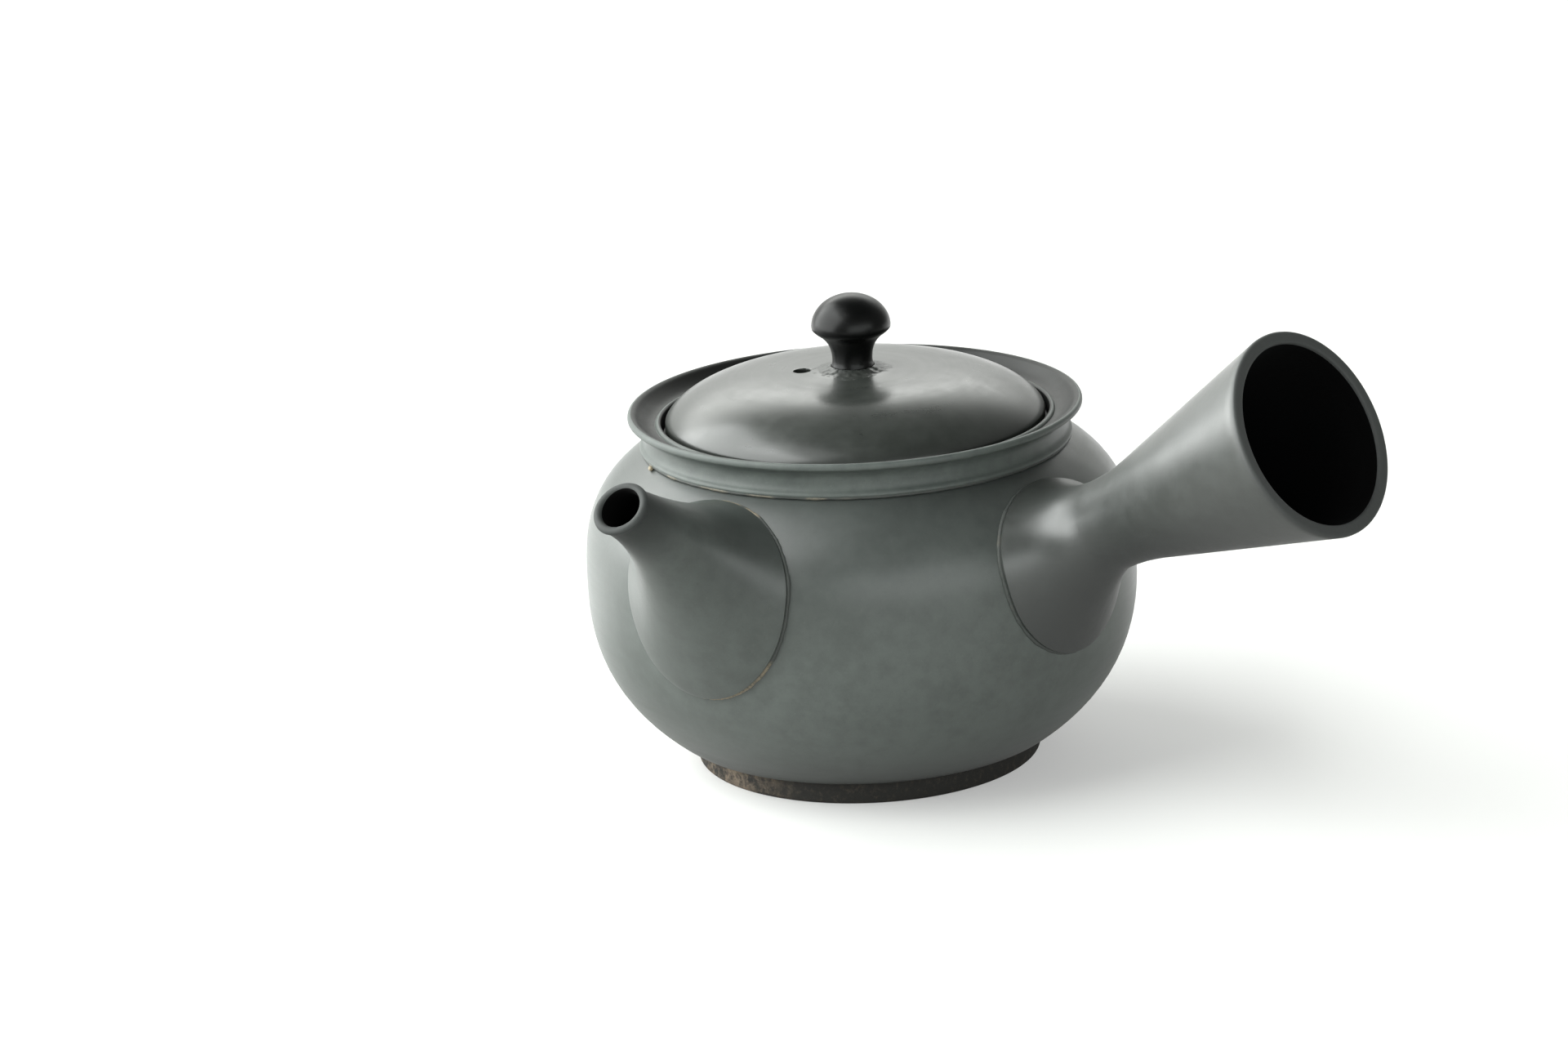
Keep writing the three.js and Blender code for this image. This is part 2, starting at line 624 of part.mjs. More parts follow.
// The cup is turned about +Z, open at 0 and domed upwards, before it is laid along its axis.
function strainerGeometry() {
  const rim = BELLY_WALL - LUTE_GAP;
  const innerRadius = STRAINER_RADIUS - STRAINER_WALL;
  const dome = (radius, rise) => Array.from({ length: 6 }, (_, i) => {
    const angle = (Math.PI / 2) * (i / 5);
    return [radius * Math.cos(angle), rim + rise * Math.sin(angle)];
  });
  const cup = turned([
    [STRAINER_RADIUS, 0],
    ...dome(STRAINER_RADIUS, STRAINER_DOME),
    ...dome(innerRadius, STRAINER_DOME - STRAINER_WALL).reverse(),
    [innerRadius, 0],
    [STRAINER_RADIUS, 0],
  ], STRAINER_SIDES);
  const upward = new THREE.Vector3(0, 0, 1);
  const long = 4 * (rim + STRAINER_DOME);
  const room = innerRadius - STRAINER_HOLE_RADIUS - STRAINER_HOLE_MARGIN;
  const holeRings = Math.floor(room / STRAINER_HOLE_PITCH);
  const pierce = (solid, x, y) => solid.subtract(
    drill(new THREE.Vector3(x, y, 0), upward, STRAINER_HOLE_RADIUS, long, HOLE_SIDES),
  );
  let solid = pierce(toSolid(cup), 0, 0);
  for (let row = 1; row <= holeRings; row += 1) {
    for (let i = 0; i < 6 * row; i += 1) {
      const angle = (2 * Math.PI * i) / (6 * row);
      const radius = row * STRAINER_HOLE_PITCH;
      solid = pierce(solid, radius * Math.cos(angle), radius * Math.sin(angle));
    }
  }
  return fromSolid(solid);
}

// Assembly

const burnishedClay = { color: 0x34383a, roughness: 0.42, metalness: 0 };
const bareClay = { color: 0x2b2420, roughness: 0.85, metalness: 0 };
const innerClay = { color: 0x2c2e2f, roughness: 0.7, metalness: 0 };

function piece(name, geometry, finish) {
  geometry.computeVertexNormals();
  const mesh = new THREE.Mesh(geometry, new THREE.MeshStandardMaterial(finish));
  mesh.name = name;
  return mesh;
}

const strainer = piece('strainer', strainerGeometry(), innerClay);
strainer.quaternion.setFromUnitVectors(new THREE.Vector3(0, 0, 1), strainerAxis.clone().negate());
strainer.position.copy(strainerSeat).addScaledVector(strainerAxis, -STRAINER_SETBACK);

const vessel = new THREE.Group();
vessel.add(
  piece('foot', footGeometry(), bareClay),
  piece('pot_belly', bellyGeometry(), burnishedClay),
  piece('neck_collar', neckGeometry(), burnishedClay),
  piece('spout', spoutGeometry(), burnishedClay),
  piece('handle', handleGeometry(), burnishedClay),
  strainer,
);

const liftOffLid = new THREE.Group();
liftOffLid.add(
  piece('lid', lidGeometry(), burnishedClay),
  piece('lid_knob', knobGeometry(), burnishedClay),
);

const kyusu = new THREE.Group();
kyusu.add(vessel, liftOffLid);

export default kyusu;
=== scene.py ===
"""A side-handled teapot of burnished black clay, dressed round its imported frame.

Shapes are drawn in millimetres, and MM turns them into Blender's metres when a mesh is made.
Azimuths are in degrees about +Z, from +X, where the handle points.
"""

import logging
import math
from dataclasses import dataclass
from enum import Enum
from typing import Any, Mapping, Optional, Sequence, Union

import bpy
from mathutils import Matrix, Vector, noise


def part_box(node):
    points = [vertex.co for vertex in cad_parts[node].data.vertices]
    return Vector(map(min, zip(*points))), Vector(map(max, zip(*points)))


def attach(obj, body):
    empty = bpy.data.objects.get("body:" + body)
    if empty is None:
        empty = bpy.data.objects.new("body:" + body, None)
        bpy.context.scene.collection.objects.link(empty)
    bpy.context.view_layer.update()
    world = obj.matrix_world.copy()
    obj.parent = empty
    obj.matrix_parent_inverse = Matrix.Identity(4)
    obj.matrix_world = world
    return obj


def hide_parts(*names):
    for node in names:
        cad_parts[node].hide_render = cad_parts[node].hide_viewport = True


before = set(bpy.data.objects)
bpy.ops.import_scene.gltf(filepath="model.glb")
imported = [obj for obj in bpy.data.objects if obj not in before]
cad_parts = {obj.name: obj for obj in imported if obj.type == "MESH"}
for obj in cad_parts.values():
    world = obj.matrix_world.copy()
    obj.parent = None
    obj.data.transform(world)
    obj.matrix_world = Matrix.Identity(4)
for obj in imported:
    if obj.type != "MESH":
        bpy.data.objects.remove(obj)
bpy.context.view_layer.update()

MM = 0.001
DOUBLED = 0.001  # distance in millimetres under which two points become one
UP = Vector((0.0, 0.0, 1.0))

Point = tuple[float, float]
Triple = tuple[float, float, float]
Ring = list[Vector]
Piece = bpy.types.Object

log = logging.getLogger("kyusu")


class Body(Enum):
    """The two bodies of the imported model."""

    VESSEL = "vessel"
    LID = "lid"


class Slot(Enum):
    """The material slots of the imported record."""

    BURNISHED = "burnished_clay"
    BARE = "bare_clay"
    INNER = "inner_clay"


class Grain(Enum):
    """The way the maker's tool ran over a piece."""

    TURNED = "rings about the pot's axis"
    PULLED = "lines along the piece"


# Modelling by hand


def put_down() -> None:
    """Leaves edit mode and lets go of everything that is selected."""
    if bpy.context.object is not None and bpy.context.object.mode != "OBJECT":
        bpy.ops.object.mode_set(mode="OBJECT")
    bpy.ops.object.select_all(action="DESELECT")


def pick_up(piece: Piece) -> None:
    """Selects one piece alone and makes it active.

    Args:
        piece: The object to work on.
    """
    put_down()
    piece.select_set(True)
    bpy.context.view_layer.objects.active = piece


def clean_shell(piece: Piece) -> None:
    """Merges doubled points and turns every face outwards.

    Args:
        piece: The object to clean.
    """
    pick_up(piece)
    bpy.ops.object.mode_set(mode="EDIT")
    bpy.ops.mesh.select_all(action="SELECT")
    bpy.ops.mesh.remove_doubles(threshold=DOUBLED * MM)
    bpy.ops.mesh.normals_make_consistent(inside=False)
    bpy.ops.object.mode_set(mode="OBJECT")


def throw(name: str, section: Sequence[Point], sides: int) -> Piece:
    """Draws a half section point by point and spins it about the pot's axis, as on a wheel.

    Args:
        name: The piece's name.
        section: Points as (radius, height) in millimetres, closed or with both ends on the axis.
        sides: Number of steps in a full turn.

    Returns:
        The closed piece.
    """
    put_down()
    bpy.ops.mesh.primitive_plane_add(size=MM)
    piece = bpy.context.object
    piece.name = piece.data.name = name
    bpy.ops.object.mode_set(mode="EDIT")
    bpy.ops.mesh.select_all(action="SELECT")
    bpy.ops.mesh.merge(type="CENTER")
    bpy.ops.transform.translate(value=(section[0][0] * MM, 0.0, section[0][1] * MM))
    for (radius, height), (next_radius, next_height) in zip(section, section[1:]):
        step = ((next_radius - radius) * MM, 0.0, (next_height - height) * MM)
        bpy.ops.mesh.extrude_region_move(TRANSFORM_OT_translate={"value": step})
    bpy.ops.mesh.select_all(action="SELECT")
    bpy.ops.mesh.spin(steps=sides, angle=2 * math.pi, center=(0, 0, 0), axis=(0, 0, 1))
    clean_shell(piece)
    return piece


def lay_rings(name: str, rings: Sequence[Ring]) -> Piece:
    """Joins rings of points into a closed band. They follow the belly's skin, which no primitive does.

    Args:
        name: The piece's name.
        rings: Rings of equally many points, in millimetres. The last one joins the first.

    Returns:
        The closed piece.
    """
    sides = len(rings[0])
    faces = []
    for row in range(len(rings)):
        here = row * sides
        there = ((row + 1) % len(rings)) * sides
        for i in range(sides):
            j = (i + 1) % sides
            faces.append((here + i, here + j, there + j, there + i))
    mesh = bpy.data.meshes.new(name)
    mesh.from_pydata([point * MM for ring in rings for point in ring], [], faces)
    piece = bpy.data.objects.new(name, mesh)
    bpy.context.collection.objects.link(piece)
    clean_shell(piece)
    return piece


def cut(piece: Piece, cutter: Piece) -> None:
    """Cuts one shape out of a piece and throws the cutter away.

    Args:
        piece: The object that is cut.
        cutter: The closed shape that is taken out of it.
    """
    pick_up(piece)
    boolean = piece.modifiers.new("cut", "BOOLEAN")
    boolean.operation = "DIFFERENCE"
    boolean.solver = "EXACT"
    boolean.object = cutter
    bpy.ops.object.modifier_apply(modifier=boolean.name)
    bpy.data.objects.remove(cutter, do_unlink=True)


def lay_along(piece: Piece, place: Vector, direction: Vector) -> None:
    """Turns a piece made about +Z so that it runs along a direction, and moves it to its place.

    Args:
        piece: The object to place.
        place: Where its origin goes, in millimetres.
        direction: Where its +Z goes.
    """
    pick_up(piece)
    turn = UP.rotation_difference(direction).to_matrix().to_4x4()
    piece.matrix_world = Matrix.Translation(place * MM) @ turn
    bpy.ops.object.transform_apply(location=True, rotation=True, scale=True)


def roughen(piece: Piece, depth: float, grain: float, seed: float) -> None:
    """Pushes a piece's points in and out along their normals by smooth noise.

    Args:
        piece: The object to roughen.
        depth: Furthest push in millimetres.
        grain: Size of a bump in millimetres.
        seed: Where in the noise the piece lies.
    """
    shift = Vector((seed, seed * 0.7, -seed))
    finer_by, fading, layers = 2.1, 0.8, 3
    for vertex in piece.data.vertices:
        push = noise.fractal(vertex.co / (grain * MM) + shift, fading, finer_by, layers)
        vertex.co += vertex.normal * (push * depth * MM)
    piece.data.update()


class Outline:
    """A half section that is drawn from point to point, in millimetres."""

    def __init__(self, radius: float, height: float) -> None:
        """Starts the outline at a distance from the axis and a height."""
        self.points: list[Point] = [(radius, height)]

    def to(self, radius: float, height: float) -> "Outline":
        """Draws a straight line to a point, and gives the outline back."""
        return self.follow([(radius, height)])

    def follow(self, points: Sequence[Point]) -> "Outline":
        """Adds points of a curve that is worked out elsewhere, and gives the outline back."""
        self.points.extend(points)
        return self

    def bend(self, corner: Point, end: Point, steps: int = 6) -> "Outline":
        """Draws a round stretch that leaves towards a corner and arrives from it.

        Args:
            corner: Where the two tangents meet.
            end: The last point.
            steps: Number of short lines.

        Returns:
            The outline itself.
        """
        start = self.points[-1]
        for i in range(1, steps + 1):
            t = i / steps
            pull = ((1 - t) ** 2, 2 * t * (1 - t), t * t)
            ends = (start, corner, end)
            self.points.append(tuple(sum(w * p[k] for w, p in zip(pull, ends)) for k in (0, 1)))
        return self


def eased(start: float, end: float, count: int) -> list[float]:
    """Gives count + 1 values from one end to the other, closer together near both."""
    return [start + (end - start) * (0.5 - 0.5 * math.cos(math.pi * i / count)) for i in range(count + 1)]


def shares(count: int) -> list[float]:
    """Gives the count shares 1 / count to 1."""
    return [i / count for i in range(1, count + 1)]


def swell(widest: float, end: float, depth: float, fullness: float, distance: float) -> float:
    """Radius of half a swelling form, at a distance from its widest ring. Fullness 2 makes an ellipse."""
    reach = depth / (1 - (end / widest) ** 2) ** (1 / fullness)
    return widest * math.sqrt(max(0.0, 1 - (distance / reach) ** fullness))


def hermite(start: Vector, leave: Vector, end: Vector, arrive: Vector, t: float) -> Vector:
    """Point of a cubic between two points with given tangents.

    Args:
        start: First point.
        leave: Tangent there.
        end: Last point.
        arrive: Tangent there.
        t: Share of the way, from 0 to 1.

    Returns:
        The point.
    """
    t2 = t * t
    t3 = t2 * t
    near = start * (2 * t3 - 3 * t2 + 1) + leave * (t3 - 2 * t2 + t)
    return near + end * (-2 * t3 + 3 * t2) + arrive * (t3 - t2)


def circle_angles(sides: int) -> list[float]:
    """Gives the angles of the corners of a regular ring, in radians."""
    return [2 * math.pi * i / sides for i in range(sides)]


@dataclass(frozen=True)
class Plane:
    """The upright plane through the pot's axis at an azimuth in degrees."""

    azimuth: float

    @property
    def out(self) -> Vector:
        """Outward direction."""
        angle = math.radians(self.azimuth)
        return Vector((math.cos(angle), math.sin(angle), 0.0))

    @property
    def side(self) -> Vector:
        """Sideways direction."""
        angle = math.radians(self.azimuth)
        return Vector((-math.sin(angle), math.cos(angle), 0.0))

    def point(self, reach: float, height: float) -> Vector:
        """Point of the plane at a distance from the pot's axis and a height, in millimetres."""
        return self.out * reach + UP * height

    def rising(self, degrees: float) -> Vector:
        """Unit vector in the plane that rises by an angle."""
        return self.out * math.cos(math.radians(degrees)) + UP * math.sin(math.radians(degrees))

    def above(self, facing: Vector) -> Vector:
        """Upward unit vector in the plane, square to another one in it."""
        upward = facing.cross(self.side)
        return upward if upward.z > 0 else -upward

    def ring(self, centre: Vector, facing: Vector, radius: float, sides: int) -> Ring:
        """Circle of points that faces a direction of the plane."""
        upward = self.above(facing)
        return [
            centre + self.side * (radius * math.cos(a)) + upward * (radius * math.sin(a))
            for a in circle_angles(sides)
        ]


# Shader recipes


class Sock:
    """A shader value that Python's own operators work on."""

    def __init__(self, recipe: "Recipe", socket: Optional[bpy.types.NodeSocket]) -> None:
        """Wraps an output socket of a recipe."""
        self.recipe = recipe
        self.socket = socket

    def _math(self, operation: str, *values: "Value") -> "Sock":
        """Adds a Math node on the values."""
        return self.recipe.add("ShaderNodeMath", dict(enumerate(values)), operation=operation)

    def __add__(self, other: "Value") -> "Sock":
        """This value plus another."""
        return self._math("ADD", self, other)

    __radd__ = __add__

    def __sub__(self, other: "Value") -> "Sock":
        """This value less another."""
        return self._math("SUBTRACT", self, other)

    def __rsub__(self, other: "Value") -> "Sock":
        """Another value less this one."""
        return self._math("SUBTRACT", other, self)

    def __mul__(self, other: "Value") -> "Sock":
        """This value times another."""
        return self._math("MULTIPLY", self, other)

    __rmul__ = __mul__

    def __truediv__(self, other: "Value") -> "Sock":
        """This value over another."""
        return self._math("DIVIDE", self, other)

    def __lt__(self, other: "Value") -> "Sock":
        """1 where this value is less than another, else 0."""
        return self._math("LESS_THAN", self, other)

    def root(self) -> "Sock":
        """The square root."""
        return self._math("SQRT", self)

    def larger(self, other: "Value") -> "Sock":
        """The larger of two values."""
        return self._math("MAXIMUM", self, other)

    def step(self, low: float, high: float) -> "Sock":
        """A smooth rise from 0 at low to 1 at high.

        Args:
            low: Where the rise starts.
            high: Where it ends. It may be the smaller of the two.

        Returns:
            The share, from 0 to 1.
        """
        sockets = {0: self, 1: min(low, high), 2: max(low, high)}
        share = self.recipe.add("ShaderNodeMapRange", sockets, interpolation_type="SMOOTHSTEP")
        return share if low < high else 1.0 - share


Value = Union[float, tuple, Sock]


@dataclass(frozen=True)
class Weave:
    """Smooth noise: the size of its largest cells in millimetres, its finer layers and their strength."""

    size: float
    layers: float = 3.0
    rough: float = 0.55


class Recipe:
    """One node tree while it is mixed, a material's or the world's."""

    def __init__(self, owner: Union[bpy.types.Material, bpy.types.World]) -> None:
        """Empties the owner's node tree."""
        owner.use_nodes = True
        self.owner = owner
        self.tree = owner.node_tree
        self.tree.nodes.clear()

    def add(self, kind: str, sockets: Mapping[Any, Value], out: Any = 0, **settings: Any) -> Sock:
        """Adds a node.

        Args:
            kind: The node's type.
            sockets: Values or links of its input sockets, by name or number.
            out: Name or number of the output that is wanted.
            settings: The node's own settings.

        Returns:
            That output.
        """
        node = self.tree.nodes.new(kind)
        for key, value in settings.items():
            setattr(node, key, value)
        for key, value in sockets.items():
            if isinstance(value, Sock):
                self.tree.links.new(value.socket, node.inputs[key])
            else:
                node.inputs[key].default_value = value
        return Sock(self, node.outputs[out] if node.outputs else None)

    def place(self) -> Sock:
        """The surface point in the part's own frame, in millimetres."""
        point = self.add("ShaderNodeTexCoord", {}, "Object")
        return self.add("ShaderNodeVectorMath", {0: point, "Scale": 1 / MM}, operation="SCALE")

    def split(self, vector: Sock) -> tuple[Sock, Sock, Sock]:
        """The x, y and z of a vector."""
        node = self.add("ShaderNodeSeparateXYZ", {0: vector}).socket.node
        return tuple(Sock(self, output) for output in node.outputs)

    def noise(self, vector: Sock, weave: Weave) -> Sock:
        """Smooth noise about 0.5, read at a place in millimetres."""
        sockets = {"Scale": 1 / weave.size, "Detail": weave.layers, "Roughness": weave.rough}
        return self.add("ShaderNodeTexNoise", {"Vector": vector, **sockets})

    def blend(self, share: Value, first: Value, second: Value) -> Sock:
        """Mixes two colours, with a share of the second from 0 to 1."""
        return self.add("ShaderNodeMix", {0: share, 6: rgba(first), 7: rgba(second)}, 2, data_type="RGBA")

    def relief(self, height: Sock, depth: float, under: Optional[Sock] = None) -> Sock:
        """Bumps a surface.

        Args:
            height: The relief, where 1 is as high as depth.
            depth: Height in millimetres.
            under: The normal that it is added to.

        Returns:
            The bumped normal.
        """
        sockets = {"Strength": 1.0, "Distance": depth * MM, "Height": height}
        if under is not None:
            sockets["Normal"] = under
        return self.add("ShaderNodeBump", sockets)

    def clay(self, colour: Value, dull: Value, normal: Sock, bounce: float, **coat: Value) -> Sock:
        """Mixes a surface of fired clay.

        Args:
            colour: Its colour.
            dull: Its roughness.
            normal: Its bumped normal.
            bounce: Its index of refraction.
            coat: The weight and the roughness of a coat over it, where there is one.

        Returns:
            The shader.
        """
        sockets = {"Base Color": rgba(colour), "Roughness": dull, "Normal": normal, "IOR": bounce}
        if coat:
            sockets |= {"Coat Weight": coat["weight"], "Coat Roughness": coat["roughness"]}
        return self.add("ShaderNodeBsdfPrincipled", sockets)

    def finish(self, surface: Sock, output: str = "ShaderNodeOutputMaterial") -> bpy.types.ID:
        """Joins a shader to the tree's output, and gives the finished material or world back."""
        self.add(output, {"Surface": surface})
        return self.owner


def rgba(colour: Value) -> Value:
    """Gives a plain colour its fourth number, and leaves a link as it is."""
    return (*colour, 1.0) if isinstance(colour, tuple) else colour


@dataclass(frozen=True)
class Spot:
    """A round mark about a point in millimetres. It fades to nothing at its reach."""

    point: Triple
    reach: float
    share: float = 1.0
    fade: float = 0.6

    def mask(self, recipe: Recipe, point: Sock) -> Sock:
        """Share of the mark at a surface point in millimetres."""
        away = recipe.add("ShaderNodeVectorMath", {0: point, 1: self.point}, "Value", operation="DISTANCE")
        return away.step(self.reach, self.reach * (1.0 - self.fade)) * self.share


@dataclass(frozen=True)
class ShadePatch(Spot):
    """Painted shade: a patch that darkens the clay towards its own colour and makes it duller."""

    fade: float = 0.75
    dulling: float = 0.22
    black: Triple = (0.022, 0.025, 0.024)


@dataclass(frozen=True)
class Rub(Spot):
    """A place where the slip is rubbed through to tan clay."""

    share: float = 0.85
    fade: float = 0.5


@dataclass(frozen=True)
class Hollow:
    """The inside of a hollow piece, which the burnishing tool never reached, so it is duller. Its near-black
    colour is painted shade. Lengths are in millimetres.
    """

    origin: Triple = (0.0, 0.0, 0.0)
    axis: Triple = (0.0, 0.0, 1.0)
    inside_shade: Triple = (0.0075, 0.0075, 0.0070)
    dull: float = 0.75
    bounce: float = 1.2
    until: float = 1000.0

    def mask(self, recipe: Recipe, point: Sock) -> Sock:
        """1 where a surface faces the hollow's axis and lies behind its lip, else 0.

        Args:
            recipe: The material.
            point: The surface point in millimetres.

        Returns:
            The mask.
        """
        axis = Vector(self.axis).normalized()
        x, y, z = (part - start for part, start in zip(recipe.split(point), self.origin))
        along = x * axis.x + y * axis.y + z * axis.z
        normal = recipe.split(recipe.add("ShaderNodeNewGeometry", {}, "Normal"))
        away = (x - along * axis.x, y - along * axis.y, z - along * axis.z)
        facing = away[0] * normal[0] + away[1] * normal[1] + away[2] * normal[2]
        return (facing < 0.0) * (along < self.until)


@dataclass(frozen=True)
class BurnishedClay:
    """Black clay rubbed to a satin sheen before it was fired."""

    dark: Triple = (0.075, 0.086, 0.079)
    light: Triple = (0.106, 0.121, 0.112)
    dull: float = 0.38
    bounce: float = 1.56
    coat: float = 0.15
    coat_dull: float = 0.26
    tool_depth: float = 0.05
    specks: float = 0.30
    ripple: float = 0.22
    pitting: float = 0.030
    grain: Grain = Grain.TURNED
    along: Triple = (0.0, 0.0, 1.0)
    hollow: Optional[Hollow] = None
    shade_patches: tuple[ShadePatch, ...] = ()
    pinholes_and_vent_shade: tuple[Spot, ...] = ()
    clouds: Weave = Weave(26.0, 2.0)
    mottles: Weave = Weave(3.6, 4.0, 0.62)
    grit: Weave = Weave(0.42, 3.0, 0.7)
    strokes: Weave = Weave(1.4, 4.0, 0.6)
    ripples: Weave = Weave(15.0, 1.0)
    tone_shares: Triple = (0.45, 0.50, 0.05)
    tone_span: Point = (0.34, 0.66)
    pale_gain: float = 1.9
    pale_span: Point = (0.60, 0.80)
    deep_gain: float = 0.5
    deep_span: Point = (0.42, 0.24)
    dull_shares: Triple = (0.12, 0.10, 0.33)
    wear: float = 0.5
    wear_span: Point = (0.35, 0.75)
    mottle_height: float = 0.30
    hole_black: Triple = (0.004, 0.004, 0.004)
    hole_share: float = 0.92
    hole_depth: float = 0.25

    def tool_lines(self, recipe: Recipe, point: Sock) -> Sock:
        """Faint lines that the burnishing tool left.

        Args:
            recipe: The material.
            point: The surface point in millimetres.

        Returns:
            Noise about 0.5, drawn out along the lines.
        """
        if self.grain is Grain.TURNED:
            wander, drift = 0.02, 0.03
            x, y, z = recipe.split(point)
            radius = (x * x + y * y).root()
            sockets = {0: radius + x * wander, 1: z + y * wander, 2: x * drift}
            drawn = recipe.add("ShaderNodeCombineXYZ", sockets)
        else:
            drawn_out = (1.0, 1.0, 0.05)
            turn = UP.rotation_difference(Vector(self.along)).inverted().to_euler()
            sockets = {"Vector": point, "Rotation": tuple(turn), "Scale": drawn_out}
            drawn = recipe.add("ShaderNodeMapping", sockets, vector_type="POINT")
        return recipe.noise(drawn, self.strokes)

    def mix(self, name: str) -> bpy.types.Material:
        """Mixes the material.

        Args:
            name: Its name.

        Returns:
            The material.
        """
        recipe = Recipe(bpy.data.materials.new(name))
        point = recipe.place()
        cloud = recipe.noise(point, self.clouds)
        mottle = recipe.noise(point, self.mottles)
        speck = recipe.noise(point, self.grit)
        lines = self.tool_lines(recipe, point)
        by_cloud, by_mottle, by_lines = self.tone_shares
        tone = (cloud * by_cloud + mottle * by_mottle + lines * by_lines).step(*self.tone_span)
        pale = tuple(part * self.pale_gain for part in self.light)
        deep = tuple(part * self.deep_gain for part in self.dark)
        colour = recipe.blend(tone, self.dark, self.light)
        colour = recipe.blend(speck.step(*self.pale_span) * self.specks, colour, pale)
        colour = recipe.blend(speck.step(*self.deep_span) * self.specks, colour, deep)
        by_mottle, by_lines, by_speck = self.dull_shares
        uneven = (mottle - 0.5) * by_mottle + (lines - 0.5) * by_lines
        uneven = uneven + (speck - 0.5) * (self.specks * by_speck)
        coat = (1.0 - mottle.step(*self.wear_span) * self.wear) * self.coat
        # Painted shade: each patch darkens the colour towards its own, dulls the clay and takes the coat
        # away.
        for patch in self.shade_patches:
            shaded = patch.mask(recipe, point)
            colour = recipe.blend(shaded, colour, patch.black)
            uneven = uneven + shaded * patch.dulling
            coat = coat * (1.0 - shaded)
        height = mottle * self.mottle_height + lines * self.tool_depth + speck * self.specks
        normal = recipe.relief(height, self.pitting)
        normal = recipe.relief(recipe.noise(point, self.ripples), self.ripple, normal)
        # Pinholes, and painted shade in the lid's vent: dark, sunk spots.
        for dark_hole in self.pinholes_and_vent_shade:
            hole = dark_hole.mask(recipe, point)
            colour = recipe.blend(hole * self.hole_share, colour, self.hole_black)
            normal = recipe.relief(1.0 - hole, self.hole_depth, normal)
        dull = uneven + self.dull
        surface = recipe.clay(colour, dull, normal, self.bounce, weight=coat, roughness=self.coat_dull)
        # Painted shade: faces towards the hollow's axis take a near-black, duller clay.
        if self.hollow is not None:
            dull = uneven + self.hollow.dull
            inside_shade = recipe.clay(self.hollow.inside_shade, dull, normal, self.hollow.bounce)
            inside = self.hollow.mask(recipe, point)
            surface = recipe.add("ShaderNodeMixShader", {0: inside, 1: surface, 2: inside_shade})
        return recipe.finish(surface)


@dataclass(frozen=True)
class BareClay:
    """Clay that was left dull, with a warm flush where the fire reached it."""

    dark: Triple = (0.016, 0.015, 0.013)
    warm: Triple = (0.195, 0.150, 0.108)
    pale: Triple = (0.11, 0.09, 0.07)
    dull: float = 0.78
    uneven: float = 0.25
    bounce: float = 1.45
    flush: float = 0.55
    flush_towards: float = -122.0
    flush_span: Point = (0.62, 1.0)
    patch_shares: Point = (0.45, 0.55)
    patch_span: Point = (0.40, 0.62)
    patch_gain: float = 1.7
    mottle_span: Point = (0.50, 0.72)
    mottle_gain: float = 0.30
    pale_span: Point = (0.62, 0.78)
    pale_share: float = 0.4
    depth: float = 0.05
    depth_shares: Point = (0.6, 0.5)
    clouds: Weave = Weave(6.0, 4.0)
    mottles: Weave = Weave(1.2, 5.0, 0.72)
    grit: Weave = Weave(0.35, 3.0, 0.7)

    def mix(self, name: str) -> bpy.types.Material:
        """Mixes the material.

        Args:
            name: Its name.

        Returns:
            The material.
        """
        recipe = Recipe(bpy.data.materials.new(name))
        point = recipe.place()
        x, y, _ = recipe.split(point)
        side = Plane(self.flush_towards).out
        radius = (x * x + y * y).root().larger(1.0)
        toward = ((x * side.x + y * side.y) / radius).step(*self.flush_span)
        mottle = recipe.noise(point, self.mottles)
        speck = recipe.noise(point, self.grit)
        by_cloud, by_mottle = self.patch_shares
        patchy = recipe.noise(point, self.clouds) * by_cloud + mottle * by_mottle
        flushed = toward * (self.patch_gain * self.flush) * patchy.step(*self.patch_span)
        warmth = flushed + mottle.step(*self.mottle_span) * (self.mottle_gain * self.flush)
        colour = recipe.blend(warmth, self.dark, self.warm)
        colour = recipe.blend(speck.step(*self.pale_span) * self.pale_share, colour, self.pale)
        by_mottle, by_speck = self.depth_shares
        normal = recipe.relief(mottle * by_mottle + speck * by_speck, self.depth)
        dull = self.dull + (speck - 0.5) * self.uneven
        return recipe.finish(recipe.clay(colour, dull, normal, self.bounce))


@dataclass(frozen=True)
class SeamSlip:
    """Slip wiped into a joint, worn paler here and there to the colour of tan clay."""

    dark: Triple = (0.070, 0.076, 0.071)
    tan: Triple = (0.30, 0.25, 0.18)
    worn: float = 0.5
    worn_from: float = 0.62
    worn_to: float = 0.80
    worn_earlier: Point = (0.22, 0.16)
    patch: float = 7.0
    patch_layers: Point = (3.0, 0.6)
    grit_span: Point = (0.25, 0.55)
    rubs: tuple[Rub, ...] = ()
    dull: float = 0.62
    uneven: float = 0.3
    bounce: float = 1.45
    depth: float = 0.05
    grit: Weave = Weave(0.5, 3.0, 0.7)

    def mix(self, name: str) -> bpy.types.Material:
        """Mixes the material.

        Args:
            name: Its name.

        Returns:
            The material.
        """
        recipe = Recipe(bpy.data.materials.new(name))
        point = recipe.place()
        patches = recipe.noise(point, Weave(self.patch, *self.patch_layers))
        speck = recipe.noise(point, self.grit)
        low, high = self.worn_earlier
        span = (self.worn_from - low * self.worn, self.worn_to - high * self.worn)
        worn = patches.step(*span) * self.worn
        for rub in self.rubs:
            worn = worn.larger(rub.mask(recipe, point))
        colour = recipe.blend(worn * speck.step(*self.grit_span), self.dark, self.tan)
        dull = self.dull + (speck - 0.5) * self.uneven
        return recipe.finish(recipe.clay(colour, dull, recipe.relief(speck, self.depth), self.bounce))


Finish = Union[BurnishedClay, BareClay, SeamSlip]


